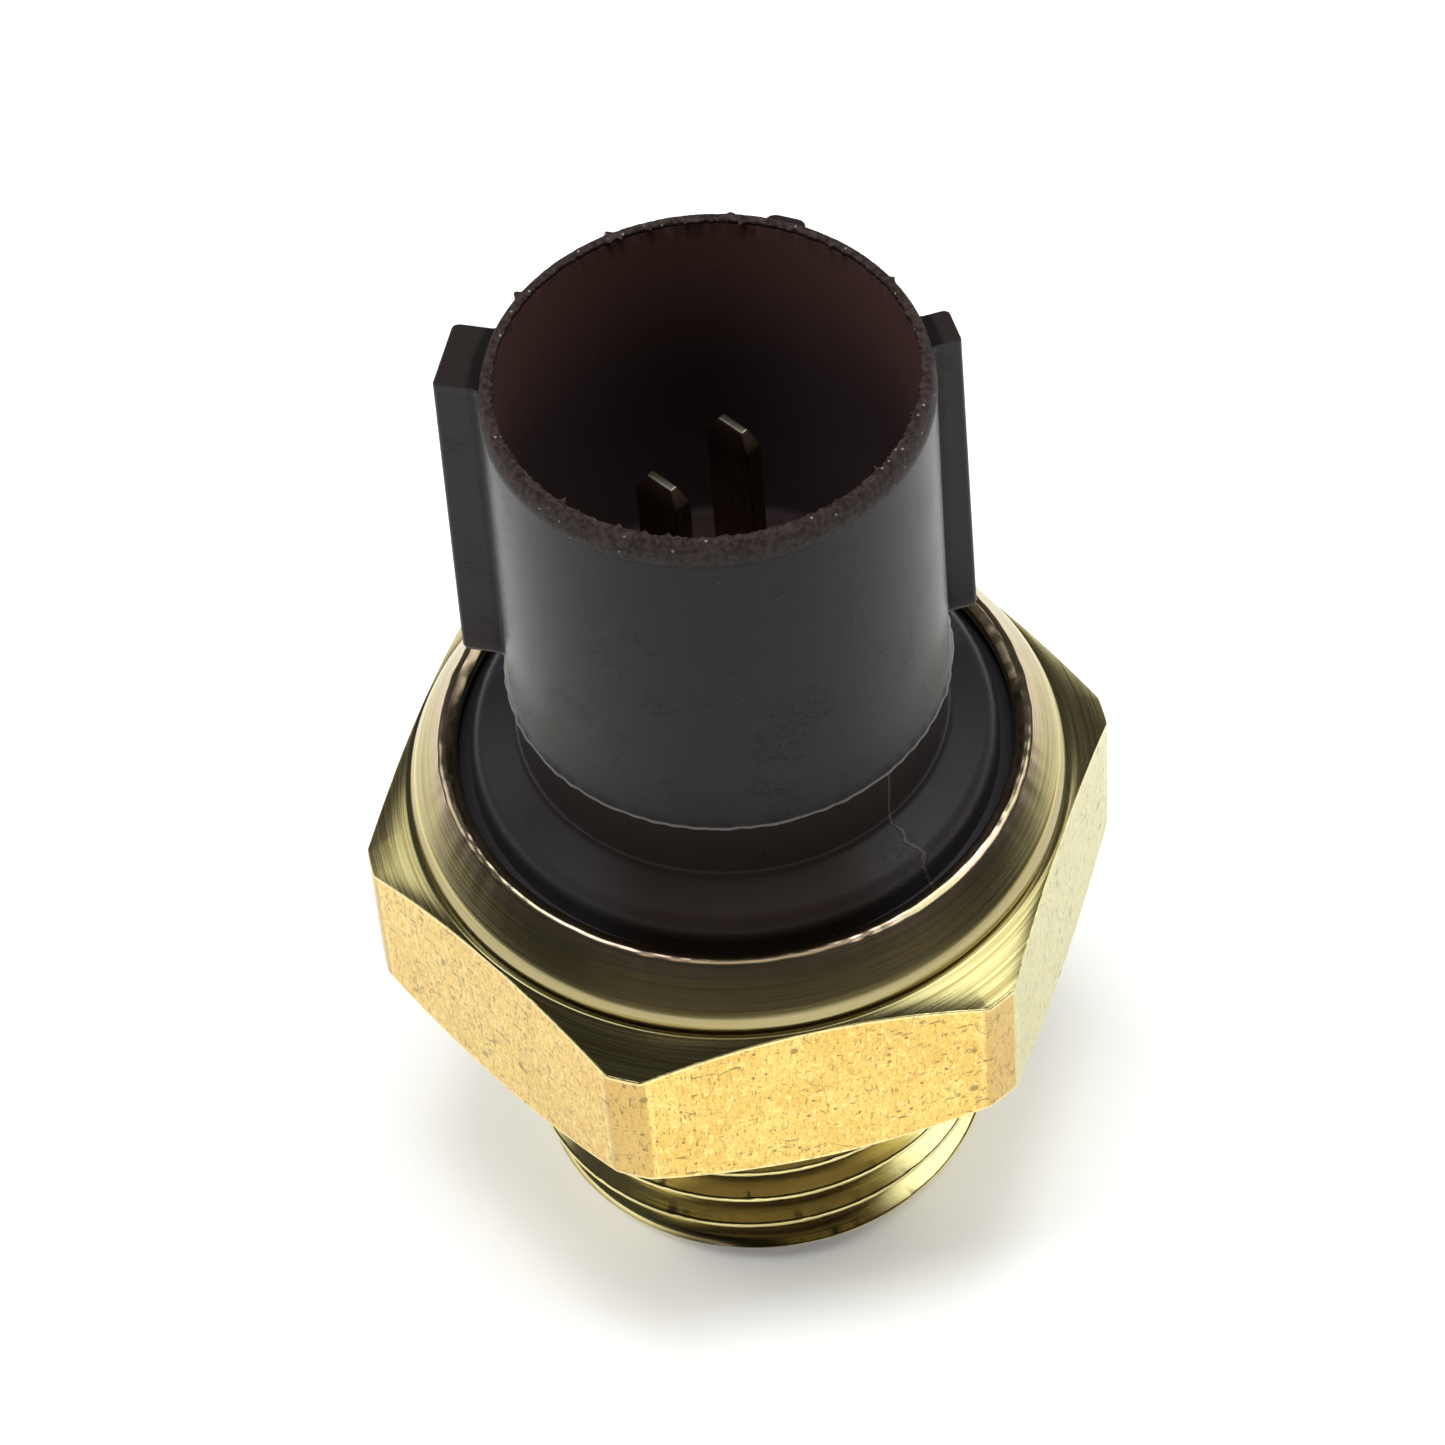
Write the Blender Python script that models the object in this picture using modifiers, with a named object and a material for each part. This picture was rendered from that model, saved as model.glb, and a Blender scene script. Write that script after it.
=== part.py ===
"""Screw-in two-pin pressure switch: a brass port body crimped over a plastic connector housing.

+Z runs along the switch, from the threaded port end (z = 0) to the connector's mouth, in metres.
Pressure from the port lifts a diaphragm, which pushes a plunger, a snap disc and a pin, and the pin
closes a spring contact arm between the two terminals.
"""

import math

import bmesh
import bpy
from mathutils import Matrix, Vector

MM = 0.001

# Clearances
REST_GAP = 0.05 * MM  # between pieces that lie against each other
SIDE_GAP = 0.10 * MM  # around a piece dropped into a bore
SLIDE_GAP = 0.12 * MM  # around a piece that slides
JOIN = 0.20 * MM  # how far shapes that are joined reach into each other

# Threaded stem
THREAD_R = 7.93 * MM
THREAD_PITCH = 1.5 * MM
THREAD_DEPTH = 0.92 * MM
THREAD_TOP_Z = 8.6 * MM
STEM_END_CHAMFER = 0.95 * MM
UNDERCUT_DEPTH = 1.05 * MM
PORT_R = 3.0 * MM
PORT_CHAMFER = 0.4 * MM

# Hexagon
HEX_ACROSS_FLATS = 22.0 * MM
HEX_CORNER_CUT = 0.31 * MM  # turned off each corner
HEX_BOTTOM_Z = 10.14 * MM
HEX_TOP_Z = 17.08 * MM
HEX_CHAMFER_ANGLE = math.radians(30)

# Collar and the lip rolled over the housing
COLLAR_WALL = 1.30 * MM
COLLAR_BAND = 0.55 * MM
LIP_CREST_OUT = 0.17 * MM  # from the counterbore out to the lip's crest
LIP_CREST_Z = 19.32 * MM
LIP_GRIP = 0.38 * MM  # from the counterbore in to the lip's edge
LIP_THICKNESS = 0.55 * MM
LIP_FLAT = 0.10 * MM
LIP_ROUND = 0.25 * MM

# Bores of the body
CHAMBER_R = 8.6 * MM
CHAMBER_FLOOR_Z = 12.0 * MM
COUNTERBORE_STEP = 0.85 * MM
SHELF_Z = 16.88 * MM
SEAL_GROOVE_R = 6.0 * MM
SEAL_GROOVE_WIDTH = 1.05 * MM
SEAL_GROOVE_DEPTH = 0.78 * MM

# Seals
SMALL_CORD_R = 0.42 * MM
THREAD_CORD_R = 0.85 * MM

# Pressure stack
FILM = 0.20 * MM
FILM_ROLL = 1.2 * MM
FILM_RISE = 0.45 * MM
TRAVEL = 0.40 * MM
CUP_BASE = 0.98 * MM
CUP_HOLE_R = 4.3 * MM
CUP_WALL = 1.48 * MM
CUP_LEDGE = 0.6 * MM
CUP_LEDGE_RISE = 0.40 * MM
DISC_THICKNESS = 0.25 * MM
DISC_DISH = 0.30 * MM
RETAINER_THICKNESS = 0.6 * MM
RETAINER_OVERLAP = 0.9 * MM
GUIDE_THICKNESS = 0.95 * MM
GUIDE_BOSS_R = 2.3 * MM
GUIDE_BOSS_RISE = 0.75 * MM
PIN_R = 1.0 * MM
PIN_TIP_R = 0.4 * MM

# Connector housing
SPIGOT_WALL = 1.1 * MM
FLANGE_THICKNESS = 0.62 * MM
LEDGE_GAP = 0.45 * MM  # between the ledge and the lip
LEDGE_EDGE_Z = 19.05 * MM
LEDGE_TOP_Z = 20.40 * MM
NECK_R = 6.97 * MM
FLASH_Z = 23.0 * MM
FLASH_R = 7.2 * MM
TUBE_FOOT_R = 7.08 * MM
TUBE_TOP_R = 6.97 * MM
RIM_Z = 36.17 * MM
RIM_R = 6.70 * MM
RIM_ROUND = 0.88 * MM
MOUTH_R = 6.53 * MM
SOCKET_FLOOR_R = 6.30 * MM
SOCKET_FLOOR_Z = 22.95 * MM
POCKET_STEP = 1.1 * MM
POCKET_STEP_Z = 19.2 * MM
POCKET_TOP_Z = 20.8 * MM
SEALANT_R = 4.4 * MM
SEALANT_TOP_Z = 21.6 * MM
CONNECTOR_TURN = math.radians(80.6)  # the connector's key side, from a corner of the hexagon

# Keys on the outside of the tube: angle from the key side, width, reach at the top and at the foot
KEY_TOP_Z = 35.55 * MM
KEYS = {
    "wide": (math.radians(74.0), 2.55 * MM, 8.35 * MM, 8.50 * MM),
    "narrow": (math.radians(-76.4), 1.30 * MM, 7.95 * MM, 8.20 * MM),
    "small": (math.radians(-22.7), 1.30 * MM, 7.58 * MM, 7.66 * MM),
}
KEY_EDGE = 0.12 * MM

# Terminals: "along" runs from one blade to the other, "across" along a blade's width
BLADE_TURN = math.radians(-47.1)  # from the key side
BLADE_SPACING = 3.14 * MM
BLADE_SHIFT_ALONG = -0.30 * MM
BLADE_SHIFT_ACROSS = 0.35 * MM
BLADE_WIDTH = 1.80 * MM
BLADE_THICKNESS = 0.60 * MM
BLADE_TIP_Z = 32.65 * MM
BLADE_TIP_CUT = 0.40 * MM
BLADE_TIP_DROP = 0.68 * MM
FOOT_WIDTH = 2.0 * MM
FOOT_THICKNESS = 0.6 * MM
LEG_GAP = 0.55 * MM  # between the pocket's wall and the common terminal's leg
PAD_THICKNESS = 0.38 * MM

# Contacts
ARM_THICKNESS = 0.20 * MM
ARM_WIDTH = 2.4 * MM
ARM_HINGE_INSET = 1.1 * MM  # from the leg's outside to the rivet
ARM_TAIL = 0.85 * MM
ARM_CONTACT_INSET = 1.45 * MM
ARM_NOSE = 1.1 * MM
ARM_GAP = 0.12 * MM
CONTACT_R = 0.9 * MM
MOVING_CONTACT_HEIGHT = 0.4 * MM
RIVET_R = 0.30 * MM
RIVET_HEAD_R = 0.62 * MM
RIVET_HEAD = 0.28 * MM

ROUND_STEPS = 64
BODY_STEPS = 72
GROOVE_STEPS = 40
SMALL_STEPS = 40

# Places that follow from the sizes above
HEX_CORNER_R = HEX_ACROSS_FLATS / 2 / math.cos(math.pi / 6) - HEX_CORNER_CUT
HEX_RISE = (HEX_CORNER_R - HEX_ACROSS_FLATS / 2) * math.tan(HEX_CHAMFER_ANGLE)
THREAD_ROOT_R = THREAD_R - THREAD_DEPTH
COUNTERBORE_R = CHAMBER_R + COUNTERBORE_STEP
COLLAR_R = COUNTERBORE_R + COLLAR_WALL
LIP_CREST_R = COUNTERBORE_R + LIP_CREST_OUT
LIP_INNER_R = COUNTERBORE_R - LIP_GRIP
LEDGE_R = LIP_INNER_R - LEDGE_GAP
UNDERCUT_R = THREAD_R - UNDERCUT_DEPTH
FLANGE_R = COUNTERBORE_R - SIDE_GAP
SPIGOT_R = CHAMBER_R - 2 * SIDE_GAP
POCKET_R = SPIGOT_R - SPIGOT_WALL
POCKET_UPPER_R = POCKET_R - POCKET_STEP
DROP_IN_R = CHAMBER_R - SIDE_GAP
DISC_R = DROP_IN_R - CUP_WALL - SLIDE_GAP
CUP_LEDGE_R = DISC_R - CUP_LEDGE
RETAINER_HOLE_R = DISC_R - RETAINER_OVERLAP
FILM_ROLL_R = CUP_HOLE_R - 4 * REST_GAP
FILM_PLATEAU_R = FILM_ROLL_R - FILM_ROLL
LEG_REACH = POCKET_UPPER_R - LEG_GAP
ARM_HINGE = ARM_HINGE_INSET - LEG_REACH
ARM_CONTACT = LEG_REACH - ARM_CONTACT_INSET
FOOT_REACH = ARM_CONTACT + CONTACT_R
LINER_Z = CHAMBER_FLOOR_Z + 2 * REST_GAP
DIAPHRAGM_Z = LINER_Z + FILM + REST_GAP
CUP_Z = DIAPHRAGM_Z + FILM + REST_GAP
CUP_BASE_TOP_Z = CUP_Z + CUP_BASE
CUP_LEDGE_Z = CUP_BASE_TOP_Z + CUP_LEDGE_RISE
DISC_Z = CUP_LEDGE_Z + REST_GAP + DISC_DISH * (1 - (CUP_LEDGE_R / DISC_R) ** 2)
CONVERTER_Z = DIAPHRAGM_Z + FILM + FILM_RISE + REST_GAP
CONVERTER_TOP_Z = DISC_Z - DISC_DISH - REST_GAP
CUP_TOP_Z = DISC_Z + DISC_THICKNESS + TRAVEL + REST_GAP
RETAINER_Z = CUP_TOP_Z + REST_GAP
GUIDE_Z = RETAINER_Z + RETAINER_THICKNESS + REST_GAP
SPIGOT_Z = GUIDE_Z + GUIDE_THICKNESS + REST_GAP
FLANGE_Z = SHELF_Z + 2 * SMALL_CORD_R + 2 * REST_GAP
FLANGE_TOP_Z = FLANGE_Z + FLANGE_THICKNESS
PIN_Z = DISC_Z - DISC_DISH + DISC_THICKNESS + REST_GAP
ARM_Z = GUIDE_Z + GUIDE_THICKNESS + GUIDE_BOSS_RISE + 2 * ARM_GAP
PIN_TOP_Z = ARM_Z - REST_GAP
PAD_Z = ARM_Z + ARM_THICKNESS + ARM_GAP
FOOT_Z = POCKET_TOP_Z - REST_GAP - FOOT_THICKNESS
CONTACT_LIFT = TRAVEL * (ARM_CONTACT - ARM_HINGE) / -ARM_HINGE
MOVING_CONTACT_Z = ARM_Z + ARM_THICKNESS + REST_GAP
FIXED_CONTACT_Z = MOVING_CONTACT_Z + MOVING_CONTACT_HEIGHT + CONTACT_LIFT + 2 * REST_GAP
ALONG_TURN = CONNECTOR_TURN + BLADE_TURN


def clear_scene():
    for obj in list(bpy.data.objects):
        bpy.data.objects.remove(obj, do_unlink=True)


def new_collection(name):
    collection = bpy.data.collections.new(name)
    bpy.context.scene.collection.children.link(collection)
    return collection


def new_material(name, colour, roughness, metallic=0.0):
    material = bpy.data.materials.new(name)
    material.use_nodes = True
    shader = material.node_tree.nodes["Principled BSDF"]
    shader.inputs["Base Color"].default_value = (*colour, 1.0)
    shader.inputs["Roughness"].default_value = roughness
    shader.inputs["Metallic"].default_value = metallic
    material.diffuse_color = (*colour, 1.0)
    return material


clear_scene()
SWITCH = new_collection("pressure_switch")
CUTTERS = new_collection("cutters")
CUTTERS.hide_render = True

BRASS = new_material("brass", (0.62, 0.44, 0.13), 0.30, 1.0)
TERMINAL_BRASS = new_material("terminal_brass", (0.50, 0.42, 0.24), 0.38, 1.0)
BROWN_PLASTIC = new_material("brown_plastic", (0.035, 0.024, 0.020), 0.38)
NATURAL_PLASTIC = new_material("natural_plastic", (0.62, 0.58, 0.48), 0.45)
BLACK_RUBBER = new_material("black_rubber", (0.020, 0.020, 0.022), 0.62)
EPOXY = new_material("epoxy", (0.10, 0.07, 0.04), 0.30)
SPRING_STEEL = new_material("spring_steel", (0.52, 0.53, 0.54), 0.28, 1.0)
PLATED_STEEL = new_material("plated_steel", (0.66, 0.66, 0.63), 0.35, 1.0)
BERYLLIUM_COPPER = new_material("beryllium_copper", (0.72, 0.43, 0.20), 0.30, 1.0)
SILVER = new_material("silver", (0.82, 0.81, 0.78), 0.25, 1.0)
FILM_AMBER = new_material("film_amber", (0.55, 0.28, 0.06), 0.30)
FILM_GREY = new_material("film_grey", (0.30, 0.30, 0.31), 0.35)
CERAMIC = new_material("ceramic", (0.86, 0.84, 0.78), 0.40)


def add_object(name, mesh, material=None):
    """A piece with its material, or a helper that only cuts when it has none."""
    obj = bpy.data.objects.new(name, mesh)
    if material:
        SWITCH.objects.link(obj)
        mesh.materials.append(material)
    else:
        CUTTERS.objects.link(obj)
        obj.hide_render = True
        obj.display_type = "WIRE"
    return obj


def arc(centre_r, centre_z, radius_r, radius_z, start, end, steps):
    """Profile points (r, z) on an elliptical arc, from one angle in degrees to another."""
    points = []
    for i in range(steps + 1):
        angle = math.radians(start + (end - start) * i / steps)
        points.append((centre_r + radius_r * math.cos(angle), centre_z + radius_z * math.sin(angle)))
    return points


def turned(name, profile, material=None, steps=ROUND_STEPS):
    """Turns a profile of (r, z) points about Z. It runs down its outer side, and closes if off the axis."""
    on_axis = profile[0][0] == 0 and profile[-1][0] == 0
    mesh = bpy.data.meshes.new(name)
    count = len(profile)
    edges = [(i, i + 1) for i in range(count - 1)]
    if not on_axis:
        edges.append((count - 1, 0))
    mesh.from_pydata([(r, 0.0, z) for r, z in profile], edges, [])
    obj = add_object(name, mesh, material)
    screw = obj.modifiers.new("turn", "SCREW")
    screw.axis = "Z"
    screw.angle = math.tau
    screw.steps = steps
    screw.render_steps = steps
    screw.use_merge_vertices = True
    screw.merge_threshold = 1e-6
    screw.use_smooth_shade = False
    return obj


def from_bmesh(name, mesh_builder, material=None):
    mesh = bpy.data.meshes.new(name)
    mesh_builder.to_mesh(mesh)
    mesh_builder.free()
    return add_object(name, mesh, material)


def ring_profile(inner, outer, bottom, top):
    return [(outer, top), (outer, bottom), (inner, bottom), (inner, top)]


def disc_profile(radius, bottom, top):
    return [(0, top), (radius, top), (radius, bottom), (0, bottom)]


def block(name, along, across, height, material=None, turn=ALONG_TURN):
    """A box from (low, high) pairs along the blades' line, across it and up."""
    builder = bmesh.new()
    bmesh.ops.create_cube(builder, size=1.0)
    sizes = [high - low for low, high in (along, across, height)]
    middle = [(high + low) / 2 for low, high in (along, across, height)]
    place = Matrix.Rotation(turn, 4, "Z") @ Matrix.Translation(middle) @ Matrix.Diagonal((*sizes, 1.0))
    bmesh.ops.transform(builder, matrix=place, verts=builder.verts)
    return from_bmesh(name, builder, material)


def join_or_cut(obj, other, operation):
    boolean = obj.modifiers.new(other.name, "BOOLEAN")
    boolean.operation = operation
    boolean.solver = "EXACT"
    boolean.object = other
    return obj


def soften(obj, width, segments=2):
    bevel = obj.modifiers.new("edges", "BEVEL")
    bevel.width = width
    bevel.segments = segments
    bevel.limit_method = "ANGLE"
    bevel.angle_limit = math.radians(40)
    return obj


def o_ring(name, ring_r, cord_r, z, material):
    builder = bmesh.new()
    bmesh.ops.create_circle(builder, segments=12, radius=cord_r, cap_ends=False)
    bmesh.ops.rotate(builder, verts=builder.verts, matrix=Matrix.Rotation(math.pi / 2, 3, "X"))
    bmesh.ops.translate(builder, verts=builder.verts, vec=(ring_r, 0, z))
    mesh = bpy.data.meshes.new(name)
    builder.to_mesh(mesh)
    builder.free()
    obj = add_object(name, mesh, material)
    screw = obj.modifiers.new("turn", "SCREW")
    screw.axis = "Z"
    screw.angle = math.tau
    screw.steps = SMALL_STEPS
    screw.render_steps = SMALL_STEPS
    screw.use_merge_vertices = True
    screw.merge_threshold = 1e-6
    return obj


# Brass body


def body_outer_profile():
    """The turned outside, from the lip's inner edge down to the port end."""
    lip_r = LIP_CREST_R - LIP_FLAT
    lip_z = LIP_CREST_Z - LIP_ROUND
    lip = arc(lip_r, lip_z, lip_r - LIP_INNER_R, LIP_ROUND, 180, 90, 4)
    shoulder_z = HEX_TOP_Z + 0.12 * MM + COLLAR_BAND
    shoulder = arc(LIP_CREST_R, shoulder_z, COLLAR_R - LIP_CREST_R, LIP_CREST_Z - shoulder_z, 80, 0, 8)
    groove = [
        (COLLAR_R, HEX_TOP_Z + 0.12 * MM),
        (COLLAR_R - 0.1 * MM, HEX_TOP_Z + 0.10 * MM),
        (COLLAR_R - 0.1 * MM, HEX_TOP_Z),
    ]
    flat_r = HEX_ACROSS_FLATS / 2
    hexagon = [
        (flat_r - 0.05 * MM, HEX_TOP_Z),
        (HEX_CORNER_R, HEX_TOP_Z - HEX_RISE),
        (HEX_CORNER_R, HEX_BOTTOM_Z + HEX_RISE),
        (flat_r - 0.05 * MM, HEX_BOTTOM_Z),
    ]
    stem = [
        (UNDERCUT_R, HEX_BOTTOM_Z),
        (UNDERCUT_R, THREAD_TOP_Z),
        (THREAD_R, THREAD_TOP_Z - (THREAD_R - UNDERCUT_R)),
        (THREAD_R, STEM_END_CHAMFER),
        (THREAD_R - STEM_END_CHAMFER, 0),
    ]
    return lip + shoulder + groove + hexagon + stem


def body_inner_profile():
    """The bores, from the port end up to the underside of the lip."""
    groove_in = SEAL_GROOVE_R - SEAL_GROOVE_WIDTH / 2
    groove_out = SEAL_GROOVE_R + SEAL_GROOVE_WIDTH / 2
    groove_z = CHAMBER_FLOOR_Z - SEAL_GROOVE_DEPTH
    return [
        (PORT_R + PORT_CHAMFER, 0),
        (PORT_R, PORT_CHAMFER),
        (PORT_R, CHAMBER_FLOOR_Z),
        (groove_in, CHAMBER_FLOOR_Z),
        (groove_in, groove_z),
        (groove_out, groove_z),
        (groove_out, CHAMBER_FLOOR_Z),
        (CHAMBER_R, CHAMBER_FLOOR_Z),
        (CHAMBER_R, SHELF_Z),
        (COUNTERBORE_R, SHELF_Z),
        (COUNTERBORE_R, FLANGE_TOP_Z + REST_GAP),
        (LIP_INNER_R + 0.1 * MM, LIP_CREST_Z - LIP_THICKNESS),
    ]


def thread_groove():
    """The helical groove between the thread's crests, wound from its section."""
    half_root = THREAD_PITCH * 0.06
    half_mouth = THREAD_PITCH * 0.43
    outside = 0.08 * MM
    spread = (half_mouth - half_root) * outside / THREAD_DEPTH
    section = [
        (THREAD_R + outside, -half_mouth - spread),
        (THREAD_R + outside, half_mouth + spread),
        (THREAD_ROOT_R, half_root),
        (THREAD_ROOT_R, -half_root),
    ]
    turns = math.ceil(THREAD_TOP_Z / THREAD_PITCH) + 1
    builder = bmesh.new()
    start = builder.faces.new([builder.verts.new((r, 0, z - THREAD_PITCH / 2)) for r, z in section])
    bmesh.ops.spin(
        builder,
        geom=[start, *start.edges, *start.verts],
        cent=(0, 0, 0),
        axis=(0, 0, 1),
        dvec=(0, 0, THREAD_PITCH / GROOVE_STEPS),
        angle=turns * math.tau,
        steps=turns * GROOVE_STEPS,
    )
    bmesh.ops.recalc_face_normals(builder, faces=builder.faces)
    return from_bmesh("thread_groove", builder)


def brass_body():
    profile = body_outer_profile() + body_inner_profile()
    body = turned("brass_body", profile, BRASS, BODY_STEPS)
    prism = bmesh.new()
    bmesh.ops.create_cone(
        prism,
        cap_ends=True,
        segments=6,
        radius1=HEX_ACROSS_FLATS / 2 / math.cos(math.pi / 6),
        radius2=HEX_ACROSS_FLATS / 2 / math.cos(math.pi / 6),
        depth=LIP_CREST_Z * 2.2,
        matrix=Matrix.Rotation(math.pi / 6, 4, "Z"),
    )
    join_or_cut(body, from_bmesh("hex_prism", prism), "INTERSECT")
    return join_or_cut(body, thread_groove(), "DIFFERENCE")


# Seals


def seals():
    floor_z = CHAMBER_FLOOR_Z - SEAL_GROOVE_DEPTH
    cord_z = floor_z + SMALL_CORD_R + REST_GAP / 2
    o_ring("diaphragm_o_ring", SEAL_GROOVE_R, SMALL_CORD_R, cord_z, BLACK_RUBBER)
    ring_r = SPIGOT_R + SMALL_CORD_R + REST_GAP
    o_ring("housing_o_ring", ring_r, SMALL_CORD_R, SHELF_Z + SMALL_CORD_R + REST_GAP, BLACK_RUBBER)
    thread_ring_r = UNDERCUT_R + THREAD_CORD_R + REST_GAP
    thread_ring_z = HEX_BOTTOM_Z - THREAD_CORD_R - REST_GAP
    o_ring("thread_o_ring", thread_ring_r, THREAD_CORD_R, thread_ring_z, BLACK_RUBBER)


# Pressure stack


def film(name, z, material):
    """A film with a clamped rim and a plateau lifted in its middle."""
    rim_z = z + FILM
    return turned(
        name,
        [
            (0, rim_z + FILM_RISE),
            (FILM_PLATEAU_R, rim_z + FILM_RISE),
            (FILM_ROLL_R, rim_z),
            (DROP_IN_R, rim_z),
            (DROP_IN_R, z),
            (FILM_ROLL_R - 0.08 * MM, z),
            (FILM_PLATEAU_R - 0.08 * MM, z + FILM_RISE),
            (0, z + FILM_RISE),
        ],
        material,
        SMALL_STEPS,
    )


def disc_cup():
    """The steel cup that backs the diaphragm, guides the plunger and seats the snap disc."""
    wall_r = DISC_R + SLIDE_GAP
    return turned(
        "disc_cup",
        [
            (wall_r, CUP_TOP_Z),
            (DROP_IN_R, CUP_TOP_Z),
            (DROP_IN_R, CUP_Z),
            (CUP_HOLE_R, CUP_Z),
            (CUP_HOLE_R, CUP_BASE_TOP_Z),
            (CUP_LEDGE_R, CUP_BASE_TOP_Z),
            (CUP_LEDGE_R, CUP_LEDGE_Z),
            (wall_r, CUP_LEDGE_Z),
        ],
        PLATED_STEEL,
        SMALL_STEPS,
    )


def converter():
    radius = CUP_HOLE_R - SLIDE_GAP
    edge = 0.12 * MM
    return turned(
        "plunger",
        [
            (0, CONVERTER_TOP_Z),
            (radius - 2.2 * MM, CONVERTER_TOP_Z),
            (radius, CONVERTER_TOP_Z - 0.22 * MM),
            (radius, CONVERTER_Z + edge),
            (radius - edge, CONVERTER_Z),
            (0, CONVERTER_Z),
        ],
        BRASS,
        SMALL_STEPS,
    )


def snap_disc():
    """A dished spring disc, its middle lower than its rim at rest."""
    steps = 6
    radii = [DISC_R * i / steps for i in range(steps + 1)]
    top = [(r, DISC_Z + DISC_THICKNESS - DISC_DISH * (1 - (r / DISC_R) ** 2)) for r in radii]
    bottom = [(r, z - DISC_THICKNESS) for r, z in reversed(top)]
    return turned("snap_disc", top + bottom, SPRING_STEEL, SMALL_STEPS)


def disc_retainer():
    profile = ring_profile(RETAINER_HOLE_R, DROP_IN_R, RETAINER_Z, RETAINER_Z + RETAINER_THICKNESS)
    return turned("disc_retainer", profile, PLATED_STEEL, SMALL_STEPS)


def pin_guide():
    top_z = GUIDE_Z + GUIDE_THICKNESS
    hole_r = PIN_R + SLIDE_GAP
    return turned(
        "pin_guide",
        [
            (hole_r, top_z + GUIDE_BOSS_RISE),
            (GUIDE_BOSS_R, top_z + GUIDE_BOSS_RISE),
            (GUIDE_BOSS_R, top_z),
            (DROP_IN_R, top_z),
            (DROP_IN_R, GUIDE_Z),
            (hole_r, GUIDE_Z),
        ],
        NATURAL_PLASTIC,
        SMALL_STEPS,
    )


def push_pin():
    tip = 0.3 * MM
    return turned(
        "push_pin",
        [
            (0, PIN_TOP_Z),
            (PIN_TIP_R, PIN_TOP_Z),
            (PIN_R, PIN_TOP_Z - tip),
            (PIN_R, PIN_Z + tip),
            (PIN_TIP_R, PIN_Z),
            (0, PIN_Z),
        ],
        CERAMIC,
        24,
    )


# Connector housing


def housing_profile():
    """The tube, neck, ledge and flange outside, then the pocket below, and the socket inside."""
    rim = arc(RIM_R, RIM_Z - RIM_ROUND, TUBE_TOP_R - RIM_R, RIM_ROUND, 90, 0, 4)
    tube = [
        (TUBE_FOOT_R, FLASH_Z + 0.25 * MM),
        (FLASH_R, FLASH_Z + 0.08 * MM),
        (FLASH_R, FLASH_Z),
        (TUBE_FOOT_R, FLASH_Z - 0.03 * MM),
        (NECK_R, LEDGE_TOP_Z + 0.15 * MM),
        (NECK_R + 0.15 * MM, LEDGE_TOP_Z),
    ]
    knee_z = LEDGE_TOP_Z - 0.45 * MM
    ledge = arc(LEDGE_R - 0.75 * MM, LEDGE_EDGE_Z, 0.75 * MM, knee_z - LEDGE_EDGE_Z, 75, 0, 5)
    flange = [
        (LEDGE_R, FLANGE_TOP_Z),
        (FLANGE_R, FLANGE_TOP_Z),
        (FLANGE_R, FLANGE_Z),
        (SPIGOT_R, FLANGE_Z),
        (SPIGOT_R, SPIGOT_Z),
        (POCKET_R, SPIGOT_Z),
        (POCKET_R, POCKET_STEP_Z),
        (POCKET_UPPER_R, POCKET_STEP_Z),
        (POCKET_UPPER_R, POCKET_TOP_Z),
        (SEALANT_R, POCKET_TOP_Z),
        (SEALANT_R, SEALANT_TOP_Z),
        (0, SEALANT_TOP_Z),
    ]
    socket = [
        (0, SOCKET_FLOOR_Z),
        (SOCKET_FLOOR_R - 0.3 * MM, SOCKET_FLOOR_Z),
        (SOCKET_FLOOR_R, SOCKET_FLOOR_Z + 0.3 * MM),
        (MOUTH_R, RIM_Z - 0.06 * MM),
        (MOUTH_R + 0.04 * MM, RIM_Z),
    ]
    return socket + rim + tube + ledge + flange


def key(name, angle, width, top_reach, foot_reach):
    """A rib along the tube, with a little draft, ending at the flash line."""
    half = width / 2
    root_r = (MOUTH_R + TUBE_TOP_R) / 2
    corners = []
    for z, reach in ((FLASH_Z, foot_reach), (KEY_TOP_Z, top_reach)):
        corners += [(root_r, -half, z), (reach, -half, z), (reach, half, z), (root_r, half, z)]
    builder = bmesh.new()
    points = [builder.verts.new(corner) for corner in corners]
    bmesh.ops.convex_hull(builder, input=points)
    bmesh.ops.dissolve_limit(builder, angle_limit=0.01, verts=builder.verts, edges=builder.edges)
    bmesh.ops.rotate(builder, verts=builder.verts, matrix=Matrix.Rotation(CONNECTOR_TURN + angle, 3, "Z"))
    return soften(from_bmesh("key_" + name, builder), KEY_EDGE)


def blade_places():
    """(sign, low, high) along the blades' line for each of the two blades."""
    places = []
    for sign in (-1, 1):
        middle = BLADE_SHIFT_ALONG + sign * BLADE_SPACING / 2
        places.append((sign, middle - BLADE_THICKNESS / 2, middle + BLADE_THICKNESS / 2))
    return places


def blade_slots(obj, low_z, high_z):
    """Cuts the two slots that the blades pass through."""
    half = BLADE_WIDTH / 2 + REST_GAP
    across = (BLADE_SHIFT_ACROSS - half, BLADE_SHIFT_ACROSS + half)
    for sign, low, high in blade_places():
        name = f"{obj.name}_slot_{'a' if sign < 0 else 'b'}"
        slot = block(name, (low - REST_GAP, high + REST_GAP), across, (low_z - JOIN, high_z + JOIN))
        join_or_cut(obj, slot, "DIFFERENCE")


def connector_housing():
    housing = turned("connector_housing", housing_profile(), BROWN_PLASTIC)
    for name, sizes in KEYS.items():
        join_or_cut(housing, key(name, *sizes), "UNION")
    blade_slots(housing, SEALANT_TOP_Z, SOCKET_FLOOR_Z)
    return housing


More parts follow.
